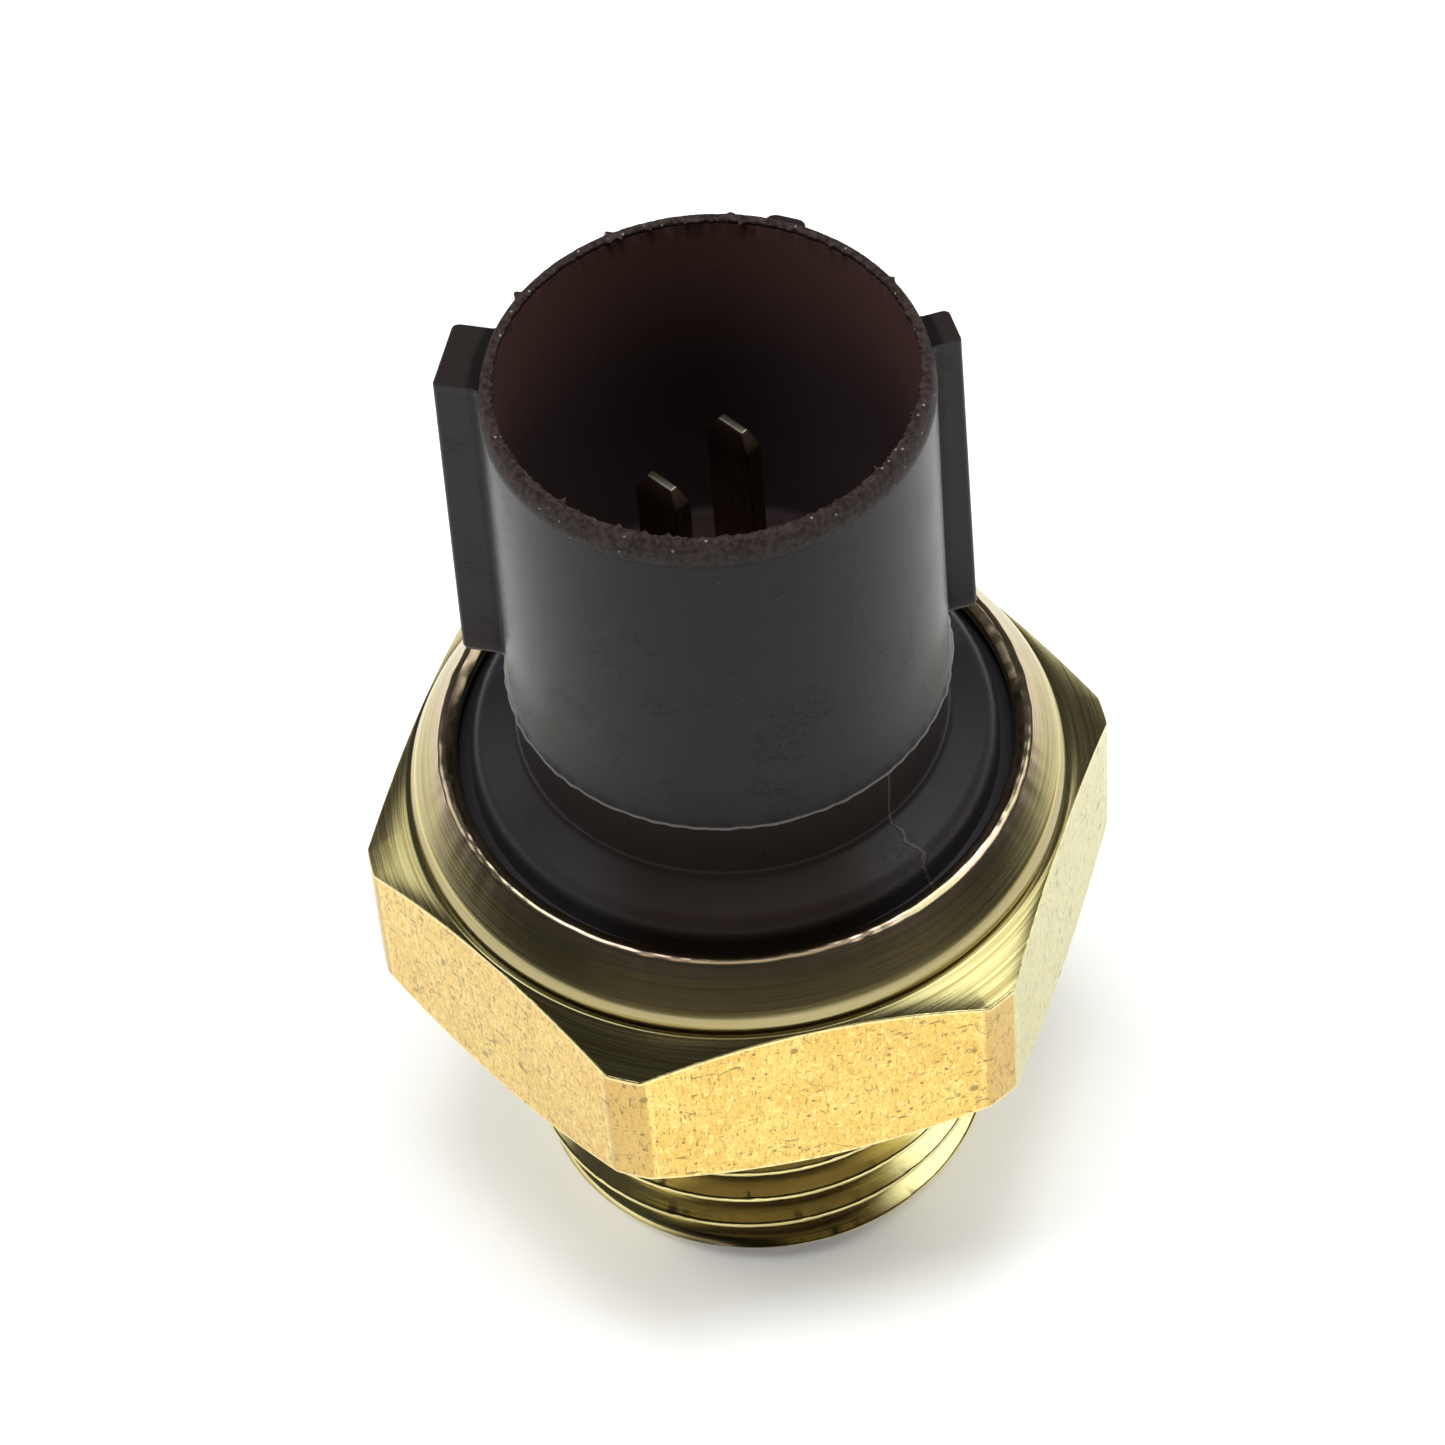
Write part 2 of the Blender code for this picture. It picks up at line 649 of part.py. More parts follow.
def terminal_sealant():
    profile = disc_profile(SEALANT_R - REST_GAP, POCKET_TOP_Z + REST_GAP, SEALANT_TOP_Z - REST_GAP)
    sealant = turned("terminal_sealant", profile, EPOXY, SMALL_STEPS)
    blade_slots(sealant, POCKET_TOP_Z, SEALANT_TOP_Z)
    return sealant


# Terminals and contacts


def plate(name, outline, thickness_low, thickness_high, facing, material=None):
    """A flat outline given as (sideways, z) and grown in thickness.

    Facing "along" it is thick along the blades' line; facing "across" it is thick across that line.
    """
    builder = bmesh.new()
    if facing == "along":
        corners = [(thickness_low, side, z) for side, z in outline]
        growth = (thickness_high - thickness_low, 0, 0)
    else:
        corners = [(side, thickness_low, z) for side, z in outline]
        growth = (0, thickness_high - thickness_low, 0)
    face = builder.faces.new([builder.verts.new(corner) for corner in corners])
    grown = bmesh.ops.extrude_face_region(builder, geom=[face])
    moved = [item for item in grown["geom"] if isinstance(item, bmesh.types.BMVert)]
    bmesh.ops.translate(builder, verts=moved, vec=growth)
    bmesh.ops.rotate(builder, verts=builder.verts, matrix=Matrix.Rotation(ALONG_TURN, 3, "Z"))
    bmesh.ops.recalc_face_normals(builder, faces=builder.faces)
    return from_bmesh(name, builder, material)


def blade(name, low, high, material):
    """A flat blade with both corners of its tip cut back. Its root ends inside the foot."""
    left = BLADE_SHIFT_ACROSS - BLADE_WIDTH / 2
    right = BLADE_SHIFT_ACROSS + BLADE_WIDTH / 2
    root_z = FOOT_Z + FOOT_THICKNESS / 2
    outline = [
        (left, root_z),
        (right, root_z),
        (right, BLADE_TIP_Z - BLADE_TIP_DROP),
        (right - BLADE_TIP_CUT, BLADE_TIP_Z),
        (left + BLADE_TIP_CUT, BLADE_TIP_Z),
        (left, BLADE_TIP_Z - BLADE_TIP_DROP),
    ]
    return plate(name, outline, low, high, "along", material)


def terminal_common():
    """The blade whose bent foot carries the contact arm on a lowered pad."""
    _, low, high = blade_places()[0]
    terminal = blade("terminal_common", low, high, TERMINAL_BRASS)
    outer = -LEG_REACH
    pad_end = ARM_HINGE + RIVET_HEAD_R + 0.15 * MM
    middle = (low + high) / 2
    outline = [
        (middle, FOOT_Z + FOOT_THICKNESS),
        (outer, FOOT_Z + FOOT_THICKNESS),
        (outer, PAD_Z),
        (pad_end, PAD_Z),
        (pad_end, PAD_Z + PAD_THICKNESS),
        (outer + PAD_THICKNESS, PAD_Z + PAD_THICKNESS),
        (outer + PAD_THICKNESS, FOOT_Z),
        (middle, FOOT_Z),
    ]
    foot = plate("common_foot", outline, -FOOT_WIDTH / 2, FOOT_WIDTH / 2, "across")
    join_or_cut(terminal, foot, "UNION")
    hole = rivet_cylinder("pad_hole", RIVET_R + REST_GAP, PAD_Z - JOIN, PAD_Z + PAD_THICKNESS + JOIN)
    return join_or_cut(terminal, hole, "DIFFERENCE")


def terminal_switched():
    """The blade whose foot holds the fixed contact."""
    _, low, high = blade_places()[1]
    half = FOOT_WIDTH / 2
    terminal = blade("terminal_switched", low, high, TERMINAL_BRASS)
    middle = (low + high) / 2
    foot = block("switched_foot", (middle, FOOT_REACH), (-half, half), (FOOT_Z, FOOT_Z + FOOT_THICKNESS))
    return join_or_cut(terminal, foot, "UNION")


def along_point(distance):
    return Vector((math.cos(ALONG_TURN) * distance, math.sin(ALONG_TURN) * distance, 0))


def upright(name, radius, low_z, high_z, place, material=None, steps=24):
    """A round pin or button standing at a place on the blades' line."""
    builder = bmesh.new()
    bmesh.ops.create_cone(
        builder, cap_ends=True, segments=steps, radius1=radius, radius2=radius, depth=high_z - low_z
    )
    centre = along_point(place) + Vector((0, 0, (low_z + high_z) / 2))
    bmesh.ops.translate(builder, verts=builder.verts, vec=centre)
    return from_bmesh(name, builder, material)


def rivet_cylinder(name, radius, low_z, high_z, material=None):
    return upright(name, radius, low_z, high_z, ARM_HINGE, material)


def arm_rivet():
    low_z = ARM_Z - ARM_GAP
    high_z = PAD_Z + PAD_THICKNESS + REST_GAP
    reach = RIVET_HEAD / 2
    rivet = rivet_cylinder("arm_rivet", RIVET_R, low_z - reach, high_z + reach, PLATED_STEEL)
    lower = rivet_cylinder("rivet_lower_head", RIVET_HEAD_R, low_z - RIVET_HEAD, low_z)
    upper = rivet_cylinder("rivet_upper_head", RIVET_HEAD_R, high_z, high_z + RIVET_HEAD)
    join_or_cut(rivet, lower, "UNION")
    return join_or_cut(rivet, upper, "UNION")


def contact_arm():
    half = ARM_WIDTH / 2
    along = (ARM_HINGE - ARM_TAIL, ARM_CONTACT + ARM_NOSE)
    arm = block("contact_arm", along, (-half, half), (ARM_Z, ARM_Z + ARM_THICKNESS), BERYLLIUM_COPPER)
    hole_r = RIVET_R + ARM_GAP
    hole = rivet_cylinder("arm_hole", hole_r, ARM_Z - JOIN, ARM_Z + ARM_THICKNESS + JOIN)
    return join_or_cut(arm, hole, "DIFFERENCE")


def contacts():
    top_z = MOVING_CONTACT_Z + MOVING_CONTACT_HEIGHT
    moving = upright("moving_contact", CONTACT_R, MOVING_CONTACT_Z, top_z, ARM_CONTACT, SILVER)
    soften(moving, 0.12 * MM)
    fixed_top_z = FOOT_Z - REST_GAP
    fixed = upright("fixed_contact", CONTACT_R, FIXED_CONTACT_Z, fixed_top_z, ARM_CONTACT, SILVER)
    soften(fixed, 0.12 * MM)


def on_hinge(names):
    """Parents the moving contact pieces to an empty on the arm's hinge line."""
    hinge = bpy.data.objects.new("arm_hinge", None)
    SWITCH.objects.link(hinge)
    hinge.location = along_point(ARM_HINGE) + Vector((0, 0, ARM_Z + ARM_THICKNESS / 2))
    for name in names:
        obj = bpy.data.objects[name]
        obj.parent = hinge
        obj.location = -hinge.location


brass_body()
seals()
film("diaphragm_liner", LINER_Z, FILM_GREY)
film("diaphragm", DIAPHRAGM_Z, FILM_AMBER)
disc_cup()
converter()
snap_disc()
disc_retainer()
pin_guide()
push_pin()
connector_housing()
terminal_sealant()
terminal_common()
terminal_switched()
arm_rivet()
contact_arm()
contacts()
on_hinge(("contact_arm", "moving_contact"))
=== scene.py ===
"""Looks of a screw-in two-pin pressure switch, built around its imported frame.

The sections follow the switch as it is put together: brass body, seals and films, cup, plunger, snap
disc and retainer, guide and pin, terminals and contacts, sealant, connector housing, then the stage.
Lengths are in millimetres in the sizes below and in metres in the meshes.
"""

import math

import bmesh
import bpy
import numpy as np
from mathutils import Matrix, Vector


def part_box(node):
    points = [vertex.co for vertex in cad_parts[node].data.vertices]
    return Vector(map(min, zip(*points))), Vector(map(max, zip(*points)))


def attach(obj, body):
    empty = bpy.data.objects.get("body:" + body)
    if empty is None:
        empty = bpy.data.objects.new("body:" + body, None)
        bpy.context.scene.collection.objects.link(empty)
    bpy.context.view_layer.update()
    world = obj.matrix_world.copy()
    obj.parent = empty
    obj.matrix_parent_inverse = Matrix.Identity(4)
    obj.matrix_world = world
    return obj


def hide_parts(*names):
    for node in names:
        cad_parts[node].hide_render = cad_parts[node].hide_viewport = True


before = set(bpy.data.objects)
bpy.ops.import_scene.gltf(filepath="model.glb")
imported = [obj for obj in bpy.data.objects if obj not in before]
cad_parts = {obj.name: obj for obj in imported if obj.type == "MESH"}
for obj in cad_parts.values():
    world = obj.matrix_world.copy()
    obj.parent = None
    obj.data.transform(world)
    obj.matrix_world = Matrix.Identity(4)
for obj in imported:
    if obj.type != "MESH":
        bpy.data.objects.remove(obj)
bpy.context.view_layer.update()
bpy.context.scene.view_settings.view_transform = "Standard"


# Brass body
# One piece of free-cutting brass bar: a milled hexagon with turned ends, a threaded stem with the port
# bored through it, and a collar whose thin lip is rolled over the connector housing.

MM = 0.001
WELD = 1e-7
HEX_FLAT_R = 11.0
HEX_CORNER_R = 12.39
HEX_FACE_R = 10.92
HEX_BOTTOM_Z = 10.14
HEX_TOP_Z = 17.08
HEX_SLOPE = math.tan(math.radians(30))
FLAT_ANGLES = np.radians((30, 90, 150))
RIGHT_FLAT_ANGLE = math.radians(-30)
FLAT_EDGE = (HEX_FLAT_R - 0.045, HEX_FLAT_R - 0.015)
LIP_INNER_R = 9.07
LIP_CREST_Z = 19.32
LIP_UNDER = (LIP_INNER_R + 0.1, LIP_CREST_Z - 0.55, 0)
LIP_ROUND = 0.45
LIP_ROUND_R = 9.40
LIP_ROUND_Z = 18.87
COLLAR_R = 10.75
COLLAR_Z = 17.30
COLLAR_ROUND = 1.0
COLLAR_SLOPE = 44
GROOVE_DEPTH = 0.1
THREAD_R = 7.93
THREAD_ROOT_R = 7.01
THREAD_PITCH = 1.5
THREAD_TOP_Z = 8.6
THREAD_START = 1.214
THREAD_RUNOUT = 1.2
UNDERCUT_R = 6.88
STEM_END_R = 6.98
PORT_R = 3.0
PORT_CHAMFER = 0.4
SEAL_INNER_R = 5.475
SEAL_OUTER_R = 6.525
SEAL_FLOOR_Z = 11.22
CHAMBER_R = 8.6
CHAMBER_FLOOR_Z = 12.0
SHELF_Z = 16.88
COUNTERBORE_R = 9.45
COUNTERBORE_TOP_Z = 18.49


def arc(centre_r, centre_z, reach_r, reach_z, start, end, steps):
    """Corners on an ellipse: centre plus reach times cosine and sine, from one angle to another."""
    angles = np.radians(np.linspace(start, end, steps + 1))
    return [(centre_r + reach_r * math.cos(a), centre_z + reach_z * math.sin(a), 0) for a in angles]


def rounded_rows(corners, columns, steps=3):
    """Rows (r, z) down a profile. Each corner (r, z, reach) becomes a quadratic curve: it leaves one side
    a reach before the corner, is drawn towards it, and joins the next side a reach after it."""
    r, z, reach = (np.array([np.broadcast_to(c[i], columns) for c in corners], float) for i in range(3))
    point = np.stack([r, z], -1)
    before = np.roll(point, 1, 0) - point
    after = np.roll(point, -1, 0) - point
    before_long = np.linalg.norm(before, axis=-1)
    after_long = np.linalg.norm(after, axis=-1)
    leave = np.minimum(reach, 0.45 * np.minimum(before_long, after_long))
    start = point + before * (leave / np.maximum(before_long, 1e-9))[..., None]
    end = point + after * (leave / np.maximum(after_long, 1e-9))[..., None]
    along = np.linspace(0, 1, steps + 1)[:, None, None, None]
    rows = (1 - along) ** 2 * start + 2 * along * (1 - along) * point + along**2 * end
    return rows.transpose(1, 0, 2, 3).reshape(-1, columns, 2)


def turned_grid(rows, angles):
    """Points of rows (r, z) at the columns' angles: (r cos, r sin, z)."""
    r, z = rows[..., 0], rows[..., 1]
    return np.stack([r * np.cos(angles), r * np.sin(angles), z], -1)


def welded_object(name, grids, material):
    """One closed mesh from grids of points in millimetres. Each square of a grid is two triangles, points
    at one place become one vertex, and triangles that lose a side are dropped."""
    points, faces, start = [], [], 0
    for grid in grids:
        rows, columns = grid.shape[:2]
        index = start + np.arange(rows * columns).reshape(rows, columns)
        a, b, c, d = index[:-1, :-1], index[1:, :-1], index[1:, 1:], index[:-1, 1:]
        faces.append(np.stack([a, b, c], -1).reshape(-1, 3))
        faces.append(np.stack([a, c, d], -1).reshape(-1, 3))
        points.append(grid.reshape(-1, 3) * MM)
        start += rows * columns
    points, faces = np.concatenate(points), np.concatenate(faces)
    places = np.floor(points / WELD + 0.37).astype(np.int64)
    _, first, index = np.unique(places, axis=0, return_index=True, return_inverse=True)
    faces = index.reshape(-1)[faces]
    whole = (faces[:, 0] != faces[:, 1]) & (faces[:, 1] != faces[:, 2]) & (faces[:, 0] != faces[:, 2])
    faces = faces[whole]
    mesh = bpy.data.meshes.new(name)
    mesh.vertices.add(len(first))
    mesh.vertices.foreach_set("co", points[first].ravel())
    mesh.loops.add(faces.size)
    mesh.loops.foreach_set("vertex_index", faces.ravel().astype(np.int32))
    mesh.polygons.add(len(faces))
    mesh.polygons.foreach_set("loop_start", np.arange(0, faces.size, 3, dtype=np.int32))
    mesh.polygons.foreach_set("use_smooth", np.ones(len(faces), bool))
    mesh.update(calc_edges=True)
    mesh.materials.append(material)
    obj = bpy.data.objects.new(name, mesh)
    bpy.context.scene.collection.objects.link(obj)
    return obj


def keep_flats(obj):
    """Normals follow the larger faces, so flats stay flat beside their small rounded edges."""
    modifier = obj.modifiers.new("flat_normals", "WEIGHTED_NORMAL")
    modifier.keep_sharp = False
    return obj


def place(obj, body, slot, *nodes):
    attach(obj, body)
    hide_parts(*nodes)
    return obj


class Shade:
    """A shader socket that arithmetic works on. Each operation adds one Math node."""

    def __init__(self, tree, socket=None):
        self.tree = tree
        self.socket = socket

    def node(self, kind, settings=None, inputs=None, output=0):
        """Adds a node: its settings first, then values or links on its sockets. Gives one output."""
        node = self.tree.nodes.new("ShaderNode" + kind)
        for name, value in (settings or {}).items():
            setattr(node, name, value)
        for name, value in (inputs or {}).items():
            if isinstance(value, Shade):
                self.tree.links.new(value.socket, node.inputs[name])
            else:
                node.inputs[name].default_value = value
        return Shade(self.tree, node.outputs[output])

    def math(self, operation, *values):
        return self.node("Math", {"operation": operation}, dict(enumerate(values)))

    def __add__(self, other):
        return self.math("ADD", self, other)

    def __radd__(self, other):
        return self.math("ADD", other, self)

    def __sub__(self, other):
        return self.math("SUBTRACT", self, other)

    def __rsub__(self, other):
        return self.math("SUBTRACT", other, self)

    def __mul__(self, other):
        return self.math("MULTIPLY", self, other)

    def __rmul__(self, other):
        return self.math("MULTIPLY", other, self)

    def __truediv__(self, other):
        return self.math("DIVIDE", self, other)

    def __rtruediv__(self, other):
        return self.math("DIVIDE", other, self)

    def step(self, low, high):
        """0 below low, 1 above high, smooth between them."""
        inputs = {"Value": self, "From Min": low, "From Max": high, "To Min": 0.0, "To Max": 1.0}
        return self.node("MapRange", {"interpolation_type": "SMOOTHSTEP", "clamp": True}, inputs)

    def band(self, low, full, start, end):
        """0 below low, 1 from full to start, 0 above end, smooth between them."""
        return self.step(low, full) * (1 - self.step(start, end))

    def blend(self, colour, other):
        """A colour, turning into the other where this value is 1."""
        settings = {"data_type": "RGBA", "clamp_factor": True}
        return self.node("Mix", settings, {0: self, 6: colour, 7: other}, 2)

    def noise(self, vector, scale, detail=2.0, roughness=0.5):
        inputs = {"Vector": vector, "Scale": scale, "Detail": detail, "Roughness": roughness}
        return self.node("TexNoise", None, inputs)


def rgb(red, green, blue):
    return (red, green, blue, 1.0)


class Finish:
    """A material: its shader's constants, its place on the piece in millimetres, and its inputs."""

    def __init__(self, name, **constants):
        self.material = bpy.data.materials.new(name)
        self.material.use_nodes = True
        tree = self.material.node_tree
        self.shader = tree.nodes["Principled BSDF"]
        for socket, value in constants.items():
            self.shader.inputs[socket.replace("_", " ")].default_value = value
        self.shade = Shade(tree)
        where = self.shade.node("TexCoord", None, None, 3)
        scaled = {0: where, "Scale": 1 / MM}
        self.place = self.shade.node("VectorMath", {"operation": "SCALE"}, scaled)
        self.x = self.shade.node("SeparateXYZ", None, {0: self.place}, 0)
        self.y = self.shade.node("SeparateXYZ", None, {0: self.place}, 1)
        self.z = self.shade.node("SeparateXYZ", None, {0: self.place}, 2)
        self.r = self.shade.math("SQRT", self.x * self.x + self.y * self.y)

    def vector(self, x, y, z):
        return self.shade.node("CombineXYZ", None, {0: x, 1: y, 2: z})

    def toward(self, angle):
        """How far a place lies from the axis in the direction of an angle from +X."""
        return self.x * math.cos(angle) + self.y * math.sin(angle)

    def streaks(self, sideways, upward, detail, roughness):
        """Noise with one scale in X and Y and another in Z, so that its marks lie or stand."""
        where = self.vector(self.x * sideways, self.y * sideways, self.z * upward)
        return self.shade.noise(where, 1.0, detail, roughness)

    def rings(self, across, along):
        """A place that changes fast down the turned profile and slowly round it."""
        return self.vector(self.x / self.r * along, self.y / self.r * along, (self.r - self.z) * across)

    def dots(self, scale, size, share):
        """1 inside round spots of this size, in this share of the cells."""
        cell = {"Vector": self.place, "Scale": scale}
        distance = self.shade.node("TexVoronoi", None, cell, 0)
        colour = self.shade.node("TexVoronoi", None, cell, 1)
        chance = self.shade.node("SeparateXYZ", None, {0: colour}, 0)
        return (1 - distance.step(size * 0.5, size)) * (1 - chance.step(share - 0.01, share + 0.01))

    def apply(self, colour, roughness, height, depth):
        """Links the colour, roughness and a bump whose height of 1 is depth millimetres."""
        tree = self.shade.tree
        tree.links.new(colour.socket, self.shader.inputs["Base Color"])
        if isinstance(roughness, Shade):
            tree.links.new(roughness.socket, self.shader.inputs["Roughness"])
        else:
            self.shader.inputs["Roughness"].default_value = roughness
        bump = self.shade.node("Bump", None, {"Height": height, "Distance": depth * MM, "Strength": 1.0})
        tree.links.new(bump.socket, self.shader.inputs["Normal"])
        return self.material


def brass_flats(f):
    """The milled flats: mottled gold with hatching, scratches, dashes, nicks and pits, a duller edge strip,
    a right-hand flat tinted greener as a painted reflection, and painted highlights along the chamfers
    and beside the corner strips. Gives colour, added roughness and height."""
    s = f.shade
    mill = f.streaks(7.0, 4.0, 4.0, 0.75)
    pale = f.streaks(4.5, 2.4, 5.0, 0.8)
    hatch = f.streaks(7.0, 1.3, 3.0, 0.7).step(0.56, 0.62)
    dashes = f.streaks(9.0, 1.9, 3.0, 0.7).step(0.615, 0.655)
    nicks = f.streaks(1.6, 5.0, 3.0, 0.75).step(0.645, 0.670)
    curves = s.noise(f.place, 0.7, 0.6, 0.5)
    scratch = 1 - s.math("ABSOLUTE", curves - 0.5).step(0.0, 0.005)
    sparse = s.noise(f.place, 0.8, 2.0).step(0.56, 0.62)
    pits = s.math("MAXIMUM", f.dots(2.4, 0.20, 0.26), f.dots(1.2, 0.24, 0.24))
    blotch = s.noise(f.place, 0.45, 3.0, 0.55)
    marked = s.math("MAXIMUM", scratch * sparse * 0.7, pits * 0.75)
    marked = s.math("MAXIMUM", marked, s.math("MAXIMUM", dashes * 0.7, nicks * 0.75))

    gold = blotch.step(0.35, 0.65).blend(rgb(0.73, 0.48, 0.116), rgb(0.79, 0.555, 0.150))
    gold = (mill.step(0.53, 0.58) * 0.75).blend(gold, rgb(0.52, 0.34, 0.095))
    gold = (pale.step(0.53, 0.58) * 0.75).blend(gold, rgb(0.88, 0.67, 0.235))
    gold = (hatch * 0.55).blend(gold, rgb(0.55, 0.37, 0.10))
    # Painted reflection: the right-hand flat is tinted greener, standing in for the bluish light it mirrors.
    painted_reflection_flat = f.toward(RIGHT_FLAT_ANGLE).step(*FLAT_EDGE)
    gold = (painted_reflection_flat * 0.6).blend(gold, rgb(0.58, 0.65, 0.32))
    strip = f.r.step(HEX_CORNER_R - 0.09, HEX_CORNER_R - 0.05) * (1 - painted_reflection_flat)
    gold = (strip * 0.75).blend(gold, rgb(0.52, 0.34, 0.11))
    gold = marked.blend(gold, rgb(0.22, 0.15, 0.05))

    # Painted highlights: pale lines along the chamfers' edges and beside the corner strips, where rounded
    # edges catch the light.
    fall = (f.r - HEX_FACE_R) * HEX_SLOPE
    painted_edge_highlight = 1 - s.math("MINIMUM", HEX_TOP_Z - fall - f.z, f.z - HEX_BOTTOM_Z - fall).step(0.07, 0.15)
    inward = HEX_CORNER_R - f.r
    painted_strip_highlight = inward.band(0.09, 0.12, 0.14, 0.17)
    painted_edge_highlight = s.math("MAXIMUM", painted_edge_highlight, painted_strip_highlight * 0.35)
    gold = (painted_edge_highlight * 0.55).blend(gold, rgb(0.98, 0.86, 0.46))
    return gold, 0.12 + (mill - 0.5) * 0.2, mill * 0.9 + pale - marked * 2.4 + blotch * 0.6


def brass_turned(f):
    """The turned faces: olive brass with fine rings, a collar slope painted darker brown as a painted dark
    reflection, a painted copper highlight on the lip, painted shade on the collar's foot and in its groove,
    painted shade in the thread roots at the front and back, and painted gold reflections on the thread's
    sides. Gives colour, added roughness and height."""
    s = f.shade
    ring_fine = s.noise(f.rings(9.0, 1.2), 1.0, 4.0, 0.65)
    ring_wide = s.noise(f.rings(2.2, 0.7), 1.0, 2.0, 0.5)
    near_lip = f.z.step(LIP_CREST_Z - 0.92, LIP_CREST_Z - 0.12)
    near_lip = near_lip * (1 - f.r.step(LIP_ROUND_R + 0.5, LIP_ROUND_R + 0.9))
    chatter = s.noise(f.rings(0.2, 26.0), 1.0, 2.0, 0.6) * near_lip

    olive = ring_fine.step(0.38, 0.62).blend(rgb(0.56, 0.45, 0.18), rgb(0.90, 0.80, 0.37))
    # Painted dark reflection: the collar's slope is painted darker brown, standing in for the dark ceiling
    # it mirrors.
    painted_dark_collar = f.z.step(COLLAR_Z + 0.55, COLLAR_Z + 0.75) * f.r.step(LIP_ROUND_R + 0.26, LIP_ROUND_R + 0.34)
    olive = (painted_dark_collar * (ring_fine.step(0.36, 0.62) * 0.7 + 0.25)).blend(olive, rgb(0.30, 0.25, 0.14))
    # Painted highlight: a copper-coloured sheen below the lip's crest and brighter copper patches on the
    # crest, standing in for the light the lip catches.
    upper = f.z.step(LIP_CREST_Z - 0.72, LIP_CREST_Z - 0.22)
    olive = (upper * 0.5).blend(olive, rgb(0.60, 0.46, 0.34))
    lip = f.z.step(LIP_CREST_Z - 0.22, LIP_CREST_Z - 0.07)
    lip = lip * (1 - f.r.step(LIP_ROUND_R + 0.3, LIP_ROUND_R + 0.4))
    lip = lip * s.noise(f.rings(0.3, 5.0), 1.0, 3.0).step(0.4, 0.6)
    olive = (lip * 0.7).blend(olive, rgb(0.95, 0.68, 0.50))
    # Painted shade: the collar's lower shoulder is painted darker, dimming its reflection, and the groove at
    # its foot darker still.
    foot = f.r.step(COLLAR_R - 0.25, COLLAR_R - 0.09) * f.z.step(HEX_TOP_Z - 0.08, HEX_TOP_Z + 0.12)
    olive = (foot * 0.9).blend(olive, rgb(0.34, 0.28, 0.14))
    groove = f.r.band(COLLAR_R - 0.15, COLLAR_R - 0.09, COLLAR_R - 0.05, COLLAR_R - 0.01)
    groove = groove * f.z.band(HEX_TOP_Z - 0.08, HEX_TOP_Z + 0.02, COLLAR_Z, COLLAR_Z + 0.1)
    olive = (groove * 0.8).blend(olive, rgb(0.12, 0.09, 0.04))
    # Painted shade: the thread roots are darkened strongly at the front and back, where the hexagon
    # overhangs the floor they mirror, and faintly all round.
    front = s.math("ABSOLUTE", f.x * 0.12 + f.y).step(5.6, 7.3)
    stem = 1 - f.z.step(THREAD_TOP_Z, THREAD_TOP_Z + 0.1)
    painted_root_shade = stem * (1 - f.r.step(THREAD_R - 0.07, THREAD_R - 0.01)) * (0.05 + front * 0.90)
    olive = painted_root_shade.blend(olive, rgb(0.14, 0.105, 0.055))
    # Painted reflection: the thread's left and right sides, away from the front and back, are painted bright
    # gold.
    olive = (stem * (1 - front)).blend(olive, rgb(1.0, 0.88, 0.42))
    return olive, ring_wide * 0.10, ring_fine * 0.26 + ring_wide * 0.34 + chatter * 0.35


def brass_finish():
    """One piece of brass: the look of the flats on the hexagon's sides and that of turning elsewhere."""
    f = Finish("body_brass", Metallic=1.0)
    s = f.shade
    reach = [s.math("ABSOLUTE", f.toward(angle)) for angle in FLAT_ANGLES]
    across_flats = s.math("MAXIMUM", s.math("MAXIMUM", reach[0], reach[1]), reach[2])
    corner = f.r.step(HEX_CORNER_R - 0.06, HEX_CORNER_R - 0.03)
    hexagon = s.math("MAXIMUM", across_flats.step(*FLAT_EDGE), corner)
    flat = hexagon * f.z.band(HEX_BOTTOM_Z - 0.04, HEX_BOTTOM_Z + 0.06, HEX_TOP_Z - 0.06, HEX_TOP_Z - 0.02)
    turned = 1 - flat
    gold, flat_rough, flat_height = brass_flats(f)
    olive, turned_rough, turned_height = brass_turned(f)
    roughness = 0.14 + flat * flat_rough + turned * turned_rough
    height = turned * turned_height + flat * flat_height
    return f.apply(turned.blend(gold, olive), roughness, height, 0.012)


def body_columns():
    """Angles round the hexagon, closer at its turned corners, from 0 to one whole turn."""
    edge = math.degrees(math.acos(HEX_FLAT_R / HEX_CORNER_R))
    half_edge = 0.22
    flat = np.linspace(-edge + half_edge, edge - half_edge, 58)
    strip = np.linspace(edge + half_edge, 60 - edge - half_edge, 7)
    one = np.concatenate([flat, strip])
    turns = np.sort((30 + 60 * np.arange(6)[:, None] + one[None]).ravel() % 360)
    return np.radians(np.concatenate([[0.0], turns[turns > 1e-6], [360.0]]))


def waves(angles, seed, counts, size):
    """A sum of sines round the axis with whole numbers of waves, random phases and random sizes."""
    random = np.random.default_rng(seed)
    heights = random.normal(0, 1, len(counts)) / math.sqrt(len(counts))
    phases = random.uniform(0, math.tau, len(counts))
    return size * sum(h * np.sin(n * angles + p) for n, h, p in zip(counts, heights, phases))


def ramp(value, start, width):
    """0 up to a start, 1 from a width past it on, straight between. A negative width runs down."""
    return np.clip((value - start) / width, 0, 1)


